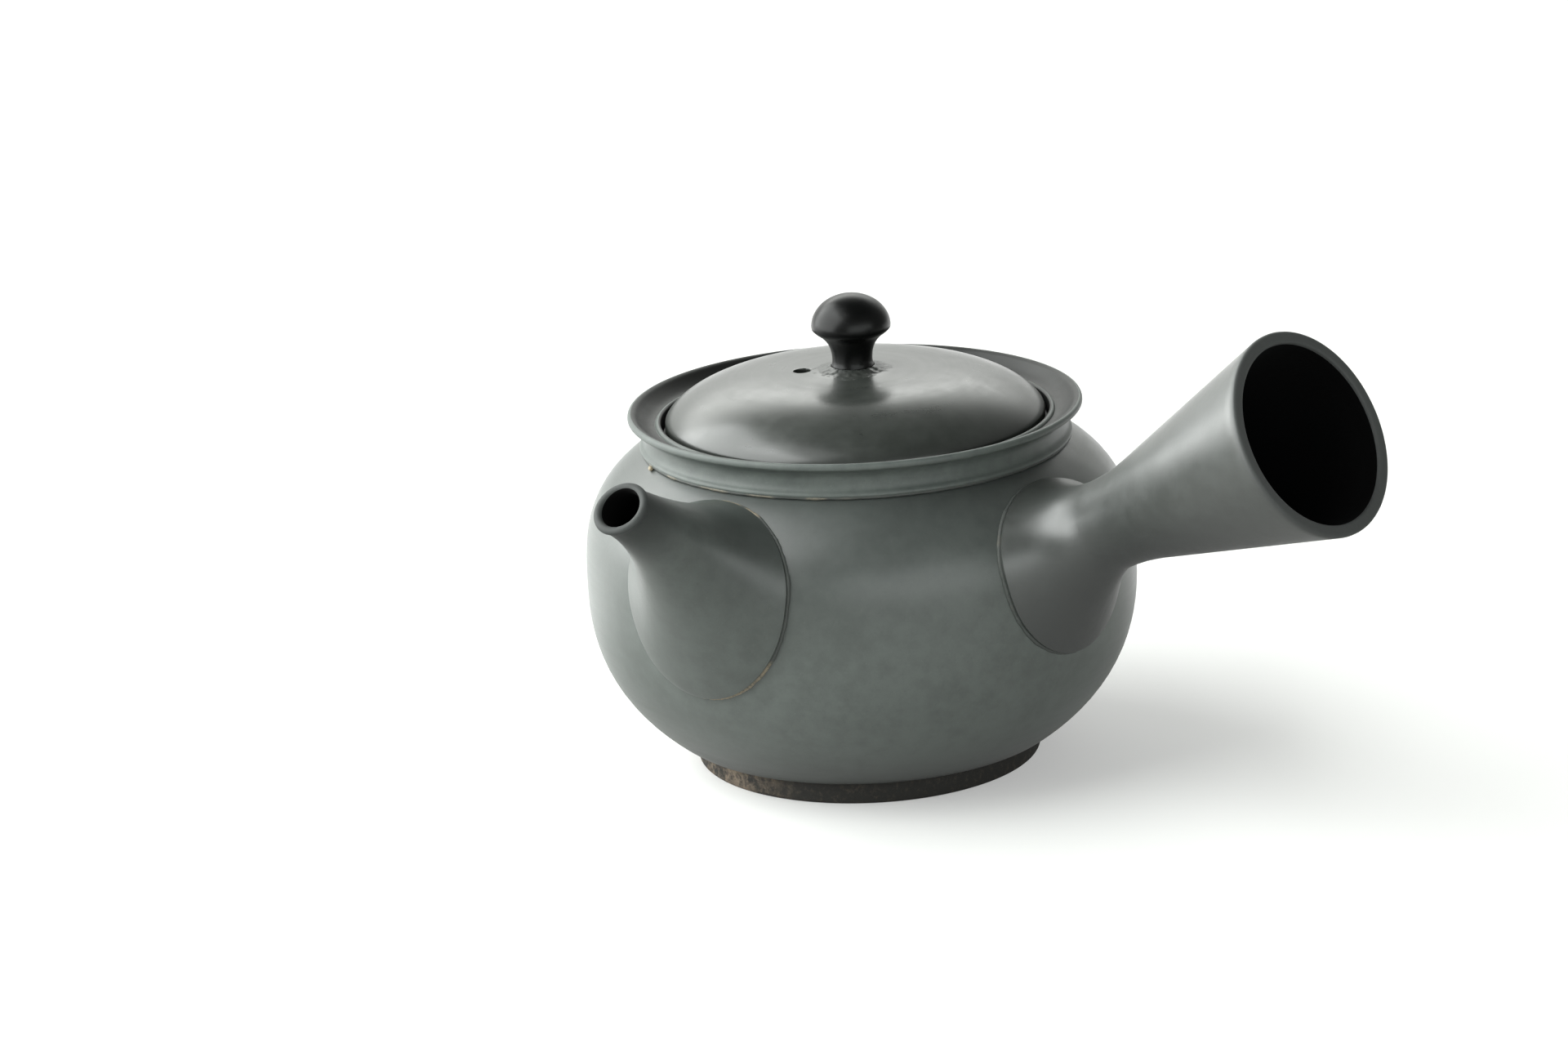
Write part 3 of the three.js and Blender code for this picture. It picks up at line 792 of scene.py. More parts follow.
def dress(
    piece: Piece, finish: Finish, name: str, *nodes: str,
    body: Body = Body.VESSEL, slot: Slot = Slot.BURNISHED, edge: float = 38.0,
) -> None:
    """Shades a piece smooth and gives it its material and its body.

    Args:
        piece: The piece.
        finish: Its finish.
        name: The material's name.
        nodes: The CAD nodes that it stands for.
        body: The body that it rides on.
        slot: The record's slot for the piece. It is not used.
        edge: Angle in degrees from which an edge stays sharp.
    """
    pick_up(piece)
    bpy.ops.object.shade_smooth_by_angle(angle=math.radians(edge))
    put_down()
    piece.data.materials.clear()
    piece.data.materials.append(finish.mix(name))
    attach(piece, body.value)
    if nodes:
        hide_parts(*nodes)
    log.info("%s: %d faces, on %s", piece.name, len(piece.data.polygons), body.value)


# The pot


@dataclass(frozen=True)
class BellyForm:
    """The belly's outer form, which everything on it follows. Lengths are in millimetres."""

    radius: float
    bottom: float
    top: float
    underside: float = 35.9
    mouth: float = 40.2
    lower_depth: float = 31.2
    lower_fullness: float = 2.33
    upper_fullness: float = 3.1

    @classmethod
    def framed(cls) -> "BellyForm":
        """The form with its widest radius and its two heights read from the frame."""
        low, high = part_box("pot_belly")
        return cls((high[0] - low[0]) / (2 * MM), low[2] / MM, high[2] / MM)

    @property
    def widest(self) -> float:
        """Height of the widest ring."""
        return self.bottom + self.lower_depth

    def radius_at(self, height: float, wall: float = 0.0, heel: float = 0.0, land: float = 0.0) -> float:
        """Radius at a height, of the skin or of a face inside it.

        Args:
            height: The height.
            wall: How far the face lies inside the skin at the widest ring.
            heel: How far it lies inside it at the bottom.
            land: How far it lies inside it at the mouth.

        Returns:
            The radius.
        """
        widest = self.radius - wall
        if height < self.widest:
            depth = self.widest - self.bottom
            return swell(widest, self.underside - heel, depth, self.lower_fullness, self.widest - height)
        depth = self.top - self.widest
        return swell(widest, self.mouth - land, depth, self.upper_fullness, height - self.widest)

    def normal(self, point: Vector) -> Vector:
        """Outward direction of the skin.

        Args:
            point: A point on the belly.

        Returns:
            A unit vector.
        """
        step = 0.05
        change = (self.radius_at(point.z + step) - self.radius_at(point.z - step)) / (2 * step)
        outward = Vector((point.x, point.y, 0.0)).normalized()
        return (outward - UP * change).normalized()

    def meet(self, point: Vector, direction: Vector) -> Vector:
        """Moves a point along a direction until it lies on the skin.

        Args:
            point: The point.
            direction: The direction, which leads out of the pot.

        Returns:
            The point on the skin.
        """
        halvings = 40
        inside = -self.radius
        outside = self.radius
        for _ in range(halvings):
            middle = (inside + outside) / 2
            trial = point + direction * middle
            if math.hypot(trial.x, trial.y) < self.radius_at(trial.z):
                inside = middle
            else:
                outside = middle
        return point + direction * inside

    def lift(self, points: Ring, height: float) -> Ring:
        """Raises points off the skin by a height."""
        return [point + self.normal(point) * height for point in points]


@dataclass(frozen=True)
class Flange:
    """The saddle by which a spout or handle is luted to the belly. Lengths are in millimetres."""

    azimuth: float
    height: float
    depth: float
    rise: float
    width: float
    shoulder: float
    drop: float
    slope: float
    top_pull: float
    bottom_pull: float
    land: float = 5.0
    gap: float = 0.3
    edge: float = 0.6
    edge_share: float = 0.55
    land_shares: Triple = (1.0, 0.6, 0.25)

    def loop(self, belly: BellyForm, inset: float, sides: int) -> Ring:
        """The egg-shaped outline on the belly's skin.

        Args:
            belly: The belly.
            inset: How far it is drawn in from the seam.
            sides: Number of points.

        Returns:
            The points on the skin.
        """
        plane = Plane(self.azimuth)
        direction = plane.rising(self.rise)
        upward = plane.above(direction)
        centre = plane.point(belly.radius - self.depth, belly.widest + self.height)
        above, below = (
            abs((plane.point(belly.radius_at(end), end) - centre).dot(upward)) - inset
            for end in (belly.top - self.shoulder, belly.widest - self.drop)
        )
        points = []
        for angle in circle_angles(sides):
            along = math.sin(angle)
            start = centre + plane.side * ((self.width / 2 - inset) * math.cos(angle))
            start += upward * ((above if along > 0 else below) * along)
            points.append(belly.meet(start, direction))
        return points

    def tangents(self, belly: BellyForm, points: Ring) -> Ring:
        """Tangents that leave the outline towards its middle, at the saddle's slope.

        Args:
            belly: The belly.
            points: The outline on the skin.

        Returns:
            One tangent for each point.
        """
        middle = sum(points, Vector()) / len(points)
        slope = math.radians(self.slope)
        tangents = []
        for angle, point in zip(circle_angles(len(points)), points):
            normal = belly.normal(point)
            inward = middle - point
            inward = (inward - normal * inward.dot(normal)).normalized()
            low = 0.5 - 0.5 * math.sin(angle)
            pull = self.top_pull + (self.bottom_pull - self.top_pull) * low
            tangents.append((inward * math.cos(slope) + normal * math.sin(slope)) * pull)
        return tangents

    def foot_rings(self, belly: BellyForm, sides: int) -> list[Ring]:
        """The luted face from its inner edge to the seam, and the seam's rounded edge.

        Args:
            belly: The belly.
            sides: Number of points.

        Returns:
            The rings, in order outwards and up.
        """
        land = [belly.lift(self.loop(belly, self.land * s, sides), self.gap) for s in self.land_shares]
        seam = self.loop(belly, 0.0, sides)
        raised = (self.gap, self.gap + self.edge * self.edge_share)
        return land + [belly.lift(seam, height) for height in raised]

    def horn(
        self, belly: BellyForm, outer: bool, end: Ring, arrive: Vector, at: Sequence[float],
    ) -> list[Ring]:
        """Rings of the curved wall from the saddle to a ring further out.

        Args:
            belly: The belly.
            outer: Whether it is the wall's outer face, which starts at the seam.
            end: The ring where it ends.
            arrive: Its tangent there.
            at: Shares of the way at which rings are laid.

        Returns:
            The rings.
        """
        loop = self.loop(belly, 0.0 if outer else self.land, len(end))
        leave = self.tangents(belly, loop)
        start = belly.lift(loop, self.gap + self.edge if outer else self.gap)
        return [[hermite(s, m, e, arrive, share) for s, m, e in zip(start, leave, end)] for share in at]


@dataclass
class Foot:
    """The turned disc that the pot stands on."""

    chamfer: float = 0.8
    hollow: float = 0.35
    groove_shares: tuple[float, ...] = (0.16, 0.34, 0.52, 0.70, 0.84)
    groove_width: float = 1.0
    groove_height: float = 0.25
    groove_end: float = 3.0
    tread: float = 4.0
    tread_slope: float = 0.6
    waist: float = 0.12
    top_round: float = 0.5
    sides: int = 160
    finish: BareClay = BareClay()

    def build(self) -> None:
        """Throws and dresses the foot."""
        _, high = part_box("foot")
        radius = high[0] / MM
        top = high[2] / MM
        section = Outline(0.0, self.hollow)
        for share in self.groove_shares:
            groove = (radius - self.groove_end) * share
            ridge = (groove + self.groove_width / 2, self.hollow + self.groove_height)
            section.to(groove, self.hollow).bend(ridge, (groove + self.groove_width, self.hollow), 4)
        tread = radius - self.tread
        slope = self.tread_slope
        section.to(tread - 2 * slope, self.hollow).bend((tread - slope, 0.0), (tread, 0.0), 4)
        section.to(radius - self.chamfer - 0.5, 0.0)
        section.bend((radius - 0.1, 0.0), (radius, self.chamfer), 6)
        section.to(radius - self.waist, top * 0.45).to(radius - 0.05, top - 0.7)
        section.bend((radius, top), (radius - self.top_round, top), 4).to(0.0, top)
        piece = throw("turned_foot", section.points, self.sides)
        dress(piece, self.finish, "bare_foot_clay", "foot", slot=Slot.BARE)


@dataclass
class Belly:
    """The thrown body of the pot, with the hole behind the spout."""

    form: BellyForm
    wall: float = 2.8
    floor: float = 3.4
    heel: float = 5.9
    mouth_land: float = 6.4
    heel_round: Point = (0.9, 0.8)
    mouth_round: Point = (0.5, 0.4)
    corner_height: float = 2.4
    corner_reach: float = 5.0
    corner_pull: Point = (0.8, 0.5)
    skin_steps: int = 22
    inner_steps: int = 14
    finger_rings: tuple[float, ...] = (22.0, 16.5, 11.0, 5.5)
    finger_width: float = 1.4
    finger_height: float = 0.35
    sides: int = 192
    finish: BurnishedClay = BurnishedClay(
        # The belly's inside is unburnished, so duller, and its near-black colour is painted shade.
        hollow=Hollow(),
        # Painted shade: the belly darkens towards its bottom, and on the front of its shoulder below the
        # neck.
        shade_patches=(
            ShadePatch((0.0, 0.0, -40.0), 74.0, 0.60, 0.24, 0.03, (0.030, 0.031, 0.028)),
            ShadePatch((8.0, -18.0, 88.0), 69.0, 0.58, 0.40, 0.05, (0.034, 0.037, 0.036)),
        ),
    )

    def build(self, strainer: "Strainer") -> None:
        """Throws the belly, bores it for the strainer and dresses it.

        Args:
            strainer: The strainer that sits in it.
        """
        form = self.form

        def inner(height: float) -> float:
            """Inner radius at a height."""
            return form.radius_at(height, self.wall, self.heel, self.mouth_land)

        floor = form.bottom + self.floor
        first = form.bottom + self.heel_round[1]
        last = form.top - self.mouth_round[1]
        corner = floor + self.corner_height
        section = Outline(0.0, form.bottom).to(form.underside - self.heel_round[0], form.bottom)
        section.bend((form.radius_at(form.bottom), form.bottom), (form.radius_at(first), first), 5)
        for start, end in ((first, form.widest), (form.widest, form.top)):
            section.follow([(form.radius_at(z), z) for z in eased(start, end, self.skin_steps)[1:]])
        throat = inner(form.top)
        section.to(throat + self.mouth_round[0], form.top)
        section.bend((throat, form.top), (inner(last), last), 3)
        for start, end in ((last, form.widest), (form.widest, corner)):
            section.follow([(inner(z), z) for z in eased(start, end, self.inner_steps)[1:]])
        pull_in, pull_up = self.corner_pull
        section.bend((inner(floor + pull_up) - pull_in, floor), (inner(floor) - self.corner_reach, floor), 6)
        # The thrower's finger left low rings on the floor.
        for radius in self.finger_rings:
            section.to(radius + self.finger_width, floor)
            section.bend((radius, floor + self.finger_height), (radius - self.finger_width, floor), 4)
        section.to(0.0, floor)
        piece = throw("thrown_belly", section.points, self.sides)
        cut(piece, strainer.bore())
        dress(piece, self.finish, "burnished_belly_clay", "pot_belly")


@dataclass
class Strainer:
    """A pierced clay dome let into the wall behind the spout."""

    form: BellyForm
    azimuth: float = -83.5
    height: float = 7.8
    rise: float = 10.0
    radius: float = 10.2
    wall: float = 1.9
    dome: float = 4.6
    rim: float = 2.5
    rim_round: float = 0.3
    setback: float = 2.0
    clearance: float = 0.3
    bore_depth: float = 9.0
    bore_sides: int = 96
    hole: float = 0.9
    hole_sides: int = 16
    pin_length: float = 30.0
    pitch: float = 3.1
    rings: int = 2
    dome_steps: int = 14
    sides: int = 64
    finish: BurnishedClay = BurnishedClay(
        dark=(0.020, 0.021, 0.020), light=(0.034, 0.036, 0.033), dull=0.6, coat=0.0,
    )

    @property
    def axis(self) -> Vector:
        """Outward direction of its axis."""
        return Plane(self.azimuth).rising(self.rise)

    @property
    def seat(self) -> Vector:
        """Where its axis leaves the belly."""
        start = Plane(self.azimuth).point(self.form.radius, self.form.widest + self.height)
        return self.form.meet(start, self.axis)

    def bore(self) -> Piece:
        """Makes the straight plug that bores the belly's wall.

        Returns:
            The cutter.
        """
        radius = self.radius + self.clearance
        deep = self.bore_depth
        section = Outline(0.0, -deep).to(radius, -deep).to(radius, deep).to(0.0, deep)
        cutter = throw("wall_bore", section.points, self.bore_sides)
        lay_along(cutter, self.seat, self.axis)
        return cutter

    def holes(self) -> Piece:
        """Makes all the piercing pins in one shape, about +Z.

        Returns:
            The cutter.
        """
        put_down()
        places = [(0.0, 0.0)]
        for row in range(1, self.rings + 1):
            out = row * self.pitch
            places += [(out * math.cos(angle), out * math.sin(angle)) for angle in circle_angles(6 * row)]
        for x, y in places:
            bpy.ops.mesh.primitive_cylinder_add(
                vertices=self.hole_sides, radius=self.hole * MM, depth=self.pin_length * MM,
                location=(x * MM, y * MM, 0.0),
            )
            bpy.ops.object.mode_set(mode="EDIT")
        put_down()
        return bpy.context.object

    def build(self) -> None:
        """Models, pierces, seats and dresses the strainer."""
        outer = self.radius
        inner = outer - self.wall
        edge = self.rim_round
        low = self.dome - self.wall
        curve = [math.pi / 2 * i / self.dome_steps for i in range(self.dome_steps)]
        section = Outline(outer - edge, 0.0).bend((outer, 0.0), (outer, edge), 3)
        section.follow([(outer * math.cos(a), self.rim + self.dome * math.sin(a)) for a in curve])
        section.to(0.0, self.rim + self.dome).to(0.0, self.rim + self.dome - self.wall)
        section.follow([(inner * math.cos(a), self.rim + low * math.sin(a)) for a in reversed(curve)])
        section.to(inner, edge).bend((inner, 0.0), (inner + edge, 0.0), 3).to(outer - edge, 0.0)
        piece = throw("pierced_strainer", section.points, self.sides)
        cut(piece, self.holes())
        lay_along(piece, self.seat - self.axis * self.setback, -self.axis)
        dress(piece, self.finish, "strainer_clay", "strainer", slot=Slot.INNER, edge=50.0)


@dataclass
class Collar:
    """The neck, its flared rim and the gallery that the lid sits in."""

    form: BellyForm
    overhang: float = 0.85
    waist_inset: float = 1.0
    waist_height: float = 3.1
    waist_pull: float = 0.65
    rim_thickness: float = 1.4
    rim_round: float = 0.55
    bead_height: float = 5.0
    bead_width: float = 1.0
    gallery_wall: float = 3.25
    ledge_height: float = 2.0
    throat_step: float = 0.4
    mouth_land: float = 6.4
    sides: int = 224
    finish: BurnishedClay = BurnishedClay(
        dark=(0.080, 0.092, 0.086),
        light=(0.116, 0.132, 0.122),
        dull=0.48,
        bounce=1.45,
        coat=0.0,
        # The rim's inner dish and the gallery, which face the axis, are unburnished and duller; their darker
        # colour is painted shade.
        hollow=Hollow(inside_shade=(0.014, 0.015, 0.014), dull=0.44, bounce=1.31),
        pinholes_and_vent_shade=(
            Spot((21.8, 32.3, 67.8), 0.50),
            Spot((21.8, 33.3, 68.1), 0.36),
            Spot((28.05, 27.1, 67.8), 0.42),
        ),
    )

    def build(self) -> None:
        """Throws and dresses the collar."""
        low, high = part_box("neck_collar")
        bottom = low[2] / MM
        top = high[2] / MM
        rim = high[0] / MM
        edge = self.form.mouth + self.overhang
        waist = edge - self.waist_inset
        gallery = waist - self.gallery_wall
        throat = self.form.mouth - self.mouth_land - self.throat_step
        under = top - self.rim_thickness
        waist_z = bottom + self.waist_height
        pulled = waist_z + (under - waist_z) * self.waist_pull
        bead = bottom + self.bead_height
        ledge = bottom + self.ledge_height
        inner = gallery + self.bead_width
        section = Outline(throat, bottom).to(edge - 0.6, bottom)
        for corner, end, steps in (
            ((edge, bottom), (edge, bottom + 0.35), 4),
            ((edge, bottom + 0.75), (edge - 0.55, bottom + 1.1), 4),
            ((waist, bottom + 1.7), (waist, waist_z), 8),
            ((waist, pulled), (rim - self.rim_round, under - 0.02), 14),
            ((rim, under + 0.12), (rim, under + self.rim_round), 5),
            ((rim, top - 0.1), (rim - self.rim_round, top), 6),
            ((rim - 1.0, top + 0.02), (rim - 1.5, top - 0.30), 5),
            ((inner + 1.75, bead - 0.62), (inner + 0.12, bead - 0.52), 16),
            ((inner - 0.06, bead - 0.02), (gallery + self.bead_width / 2, bead), 6),
            ((gallery, bead), (gallery, bead - 0.5), 6),
        ):
            section.bend(corner, end, steps)
        section.to(gallery, ledge + 0.5).bend((gallery, ledge), (gallery - 0.5, ledge), 4)
        section.to(throat + 0.6, ledge).bend((throat, ledge), (throat, ledge - 0.6), 4)
        section.to(throat, bottom)
        piece = throw("collar_and_rim", section.points, self.sides)
        dress(piece, self.finish, "burnished_collar_clay", "neck_collar")


@dataclass
class Lid:
    """The domed lid with its locating ring and vent."""

    crown_radius: float = 4.8
    dip: float = 0.34
    dip_radius: float = 11.0
    dip_end: float = 24.0
    fullness: float = 2.78
    bend: float = 0.674
    wall: float = 2.6
    edge_height: float = 2.4
    seat_height: float = 8.0
    ring_clearance: float = 3.4
    ring_wall: float = 2.4
    ring_taper: float = 0.15
    edge_round: float = 0.7
    seat_round: float = 0.4
    root: float = 1.5
    vent_radius: float = 1.7
    vent_lip: float = 2.25
    vent_offset: float = 9.6
    vent_azimuth: float = 217.5
    vent_depth: float = 6.0
    vent_sides: int = 48
    dome_steps: int = 46
    under_steps: int = 18
    sides: int = 224
    finish: BurnishedClay = BurnishedClay(
        dark=(0.026, 0.029, 0.026),
        light=(0.038, 0.042, 0.038),
        dull=0.30,
        bounce=1.54,
        specks=0.01,
        coat=0.20,
        coat_dull=0.18,
        tool_depth=0.03,
        ripple=0.12,
        pitting=0.012,
        # Painted shade in the vent: a dark, sunk spot over its opening.
        pinholes_and_vent_shade=(Spot((-7.62, -5.84, 73.95), 2.75),),
    )

    def dome(self, at: float) -> float:
        """Height of the outer face.

        Args:
            at: Distance from the axis.

        Returns:
            The height.
        """
        low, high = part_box("lid")
        span = high[0] / MM - self.crown_radius
        start = low[2] / MM + self.seat_height + self.edge_height
        share = max(0.0, (at - self.crown_radius) / span)
        falling = min(1.0, max(0.0, (at - self.crown_radius) / (self.dip_radius - self.crown_radius)))
        ending = min(1.0, max(0.0, (at - self.dip_radius) / (self.dip_end - self.dip_radius)))
        dip = self.dip * (1 - (1 - falling) ** 2) * (1 - ending * ending * (3 - 2 * ending))
        return start + (high[2] / MM - start) * max(0.0, 1 - share ** self.fullness) ** self.bend - dip

    def build(self) -> None:
        """Throws, pierces and dresses the lid."""
        low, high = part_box("lid")
        radius = high[0] / MM
        crown = high[2] / MM
        bottom = low[2] / MM
        seat = bottom + self.seat_height
        ring = radius - self.ring_clearance
        inner = ring - self.ring_wall
        inset = inner - self.root
        span = radius - self.crown_radius

        def under(at: float) -> float:
            """Height of the inner face."""
            return self.dome(at) - self.wall

        turns = [math.pi / 2 * i / self.dome_steps for i in range(1, self.dome_steps)]
        radii = [self.crown_radius + span * math.sin(turn) for turn in turns]
        section = Outline(0.0, crown).to(self.crown_radius, crown)
        section.follow([(r, self.dome(r)) for r in radii])
        soft = self.edge_round
        section.to(radius, seat + self.edge_height - 0.2).to(radius, seat + soft)
        section.bend((radius, seat), (radius - soft, seat), 5)
        section.to(ring + self.seat_round, seat).bend((ring, seat), (ring, seat - self.seat_round), 3)
        section.to(ring - 0.1, bottom + 0.8)
        section.bend((ring - self.ring_taper, bottom), (ring - 0.9, bottom), 5)
        section.to(inner + soft, bottom).bend((inner, bottom), (inner, bottom + soft), 5)
        section.to(inner, under(inner) - self.root)
        section.bend((inner, under(inner)), (inset, under(inset)), 5)
        section.follow([(r, under(r)) for r in eased(inset, self.crown_radius, self.under_steps)[1:]])
        section.to(0.0, crown - self.wall)
        piece = throw("thrown_lid", section.points, self.sides)
        cut(piece, self.vent(crown))
        dress(piece, self.finish, "burnished_lid_clay", "lid", body=Body.LID)

    def vent(self, crown: float) -> Piece:
        """The pin that makes the vent, with a soft edge.

        Args:
            crown: Height of the lid's crown.

        Returns:
            The cutter.
        """
        deep = crown - self.vent_depth
        section = Outline(0.0, deep).to(self.vent_radius, deep).to(self.vent_radius, crown - 0.75)
        section.bend((self.vent_radius, crown - 0.15), (self.vent_lip, crown - 0.05), 5)
        section.to(self.vent_lip + 0.3, crown + 1.0).to(0.0, crown + 1.0)
        pin = throw("vent_pin", section.points, self.vent_sides)
        lay_along(pin, Plane(self.vent_azimuth).out * self.vent_offset, UP)
        return pin


@dataclass
class Knob:
    """The mushroom knob and the fillet of slip that holds it."""

    lid: Lid
    stem: float = 3.8
    flare: float = 0.25
    stem_height: float = 3.0
    undercap_height: float = 6.3
    cap_edge: float = 1.5
    cap_steps: int = 26
    cap_fullness: float = 0.94
    cap_flattening: float = 0.1
    root_round: float = 0.3
    lute_radius: float = 8.0
    lute_height: float = 0.60
    lute_steps: int = 16
    lute_sunk: float = 0.4
    lute_clearance: float = 0.12
    sides: int = 128
    finish: BurnishedClay = BurnishedClay(
        # The near-black colour is painted shade on the knob, which is the same clay as the pot.
        dark=(0.0010, 0.0011, 0.0011),
        light=(0.0024, 0.0026, 0.0025),
        dull=0.30,
        bounce=1.31,
        specks=0.01,
        ripple=0.10,
        pitting=0.012,
        coat=0.0,
    )
    slip: BurnishedClay = BurnishedClay(
        dark=(0.020, 0.022, 0.020),
        light=(0.050, 0.054, 0.049),
        specks=0.25,
        pitting=0.050,
        coat=0.0,
    )

    def build(self) -> None:
        """Throws and dresses the knob and its fillet."""
        low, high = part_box("lid_knob")
        radius = high[0] / MM
        bottom = low[2] / MM
        top = high[2] / MM
        root = self.stem + self.flare
        cap = bottom + self.undercap_height
        widest = cap + self.cap_edge
        rise = top - widest
        section = Outline(0.0, bottom).to(root - self.root_round, bottom)
        section.bend((root, bottom), (root, bottom + self.root_round), 3)
        section.bend((self.stem, bottom + 0.9), (self.stem, bottom + self.stem_height / 2), 5)
        section.bend((self.stem, (bottom + self.stem_height + cap) / 2), (radius - self.cap_edge, cap), 16)
        section.bend((radius - 0.5, widest - 0.85), (radius - 0.08, widest - 0.25), 6)
        for i in range(1, self.cap_steps):
            angle = math.pi / 2 * i / self.cap_steps
            height = widest + rise * math.sin(angle) - self.cap_flattening * math.sin(2 * angle)
            section.to(radius * math.cos(angle) ** self.cap_fullness, height)
        section.bend((0.5, top - 0.02), (0.35, top), 3).to(0.0, top)
        piece = throw("turned_knob", section.points, self.sides)
        dress(piece, self.finish, "burnished_knob_clay", "lid_knob", body=Body.LID)
        self.lute(bottom)

    def lute(self, bottom: float) -> None:
        """Makes the rough fillet of slip round the knob's base.

        Args:
            bottom: Height of the knob's underside.
        """
        dome = self.lid.dome
        under = dome(self.lute_radius) - self.lute_sunk
        root = self.stem + self.flare + self.lute_clearance
        spread = self.lute_radius - root
        section = Outline(root - 1.0, under).to(self.lute_radius + 0.2, under)
        for share in (0.0, *shares(self.lute_steps)):
            at = self.lute_radius - spread * share
            section.to(at, dome(at) - 0.05 + self.lute_height * share ** 2)
        section.to(root - 0.15, bottom - 0.05).to(root - 1.0, bottom - 0.1).to(root - 1.0, under)
        piece = throw("knob_lute", section.points, self.sides)
        roughen(piece, depth=0.14, grain=1.1, seed=3.0)
        dress(piece, self.slip, "knob_lute_clay", body=Body.LID, edge=60.0)


SPOUT_FLANGE = Flange(
    azimuth=-83.5, height=9.9, depth=5.2, rise=14.0, width=35.2, shoulder=1.5, drop=10.3,
    slope=30.3, top_pull=2.2, bottom_pull=10.2,
)
HANDLE_FLANGE = Flange(
    azimuth=0.0, height=11.2, depth=5.5, rise=14.2, width=33.2, shoulder=2.2, drop=6.9,
    slope=28.3, top_pull=9.0, bottom_pull=10.4,
)


@dataclass
class Spout:
    """The short horn-shaped spout."""

    form: BellyForm
    flange: Flange = SPOUT_FLANGE
    tip_reach: float = 21.4
    tip_height: float = 32.0
    lip_rise: float = 46.7
    bore_rise: float = 29.2
    lip_radius: float = 5.4
    lip_flare: float = 0.35
    lip_length: float = 1.2
    lip_steps: int = 12
    lip_depth: float = 0.9
    wall: float = 1.6
    tip_pull: float = 54.8
    first_shares: Triple = (0.006, 0.018, 0.04)
    outer_steps: int = 46
    inner_steps: int = 26
    sides: int = 160
    finish: BurnishedClay = BurnishedClay(
        dark=(0.064, 0.073, 0.067),
        light=(0.088, 0.101, 0.093),
        dull=0.34,
        grain=Grain.PULLED,
        along=(0.1, -0.85, 0.5),
        # The spout's inside is unburnished and duller; its near-black colour is painted shade.
        hollow=Hollow(
            origin=(5.2, -46.0, 44.0), axis=(0.085, -0.74, 0.67), inside_shade=(0.002, 0.002, 0.002),
            dull=0.9, until=36.2,
        ),
        # Painted shade: the spout's lip is darker and duller, and its upper flank towards the handle is
        # darker.
        shade_patches=(
            ShadePatch((8.4, -73.4, 68.2), 17.0, 0.90, dulling=0.40),
            ShadePatch((20.0, -46.0, 60.0), 22.0, 0.60, 0.80, 0.10),
        ),
    )

    def build(self) -> None:
        """Lofts and dresses the spout."""
        plane = Plane(self.flange.azimuth)
        facing = plane.rising(self.lip_rise)
        tip = plane.point(self.form.radius + self.tip_reach, self.form.widest + self.tip_height)
        arrive = plane.rising(self.bore_rise) * self.tip_pull

        def lip(radius: float, back: float) -> Ring:
            """Ring of the lip at a radius, set back from its face."""
            return plane.ring(tip - facing * back, facing, radius, self.sides)

        bore = self.lip_radius - self.wall
        half = self.wall / 2
        outside = [*self.first_shares, *shares(self.outer_steps)[2:]]
        rings = self.flange.foot_rings(self.form, self.sides)
        outer_end = lip(self.lip_radius - self.lip_flare, self.lip_length)
        rings += self.flange.horn(self.form, True, outer_end, arrive, outside)
        for i in range(self.lip_steps + 1):
            turn = math.pi * i / self.lip_steps
            back = half * self.lip_depth * (1 - math.sin(turn))
            rings.append(lip(bore + half + half * math.cos(turn), back))
        inner_end = lip(bore, self.lip_length)
        rings += self.flange.horn(self.form, False, inner_end, arrive, shares(self.inner_steps)[::-1])
        piece = lay_rings("pulled_spout", rings)
        dress(piece, self.finish, "burnished_spout_clay", "spout")


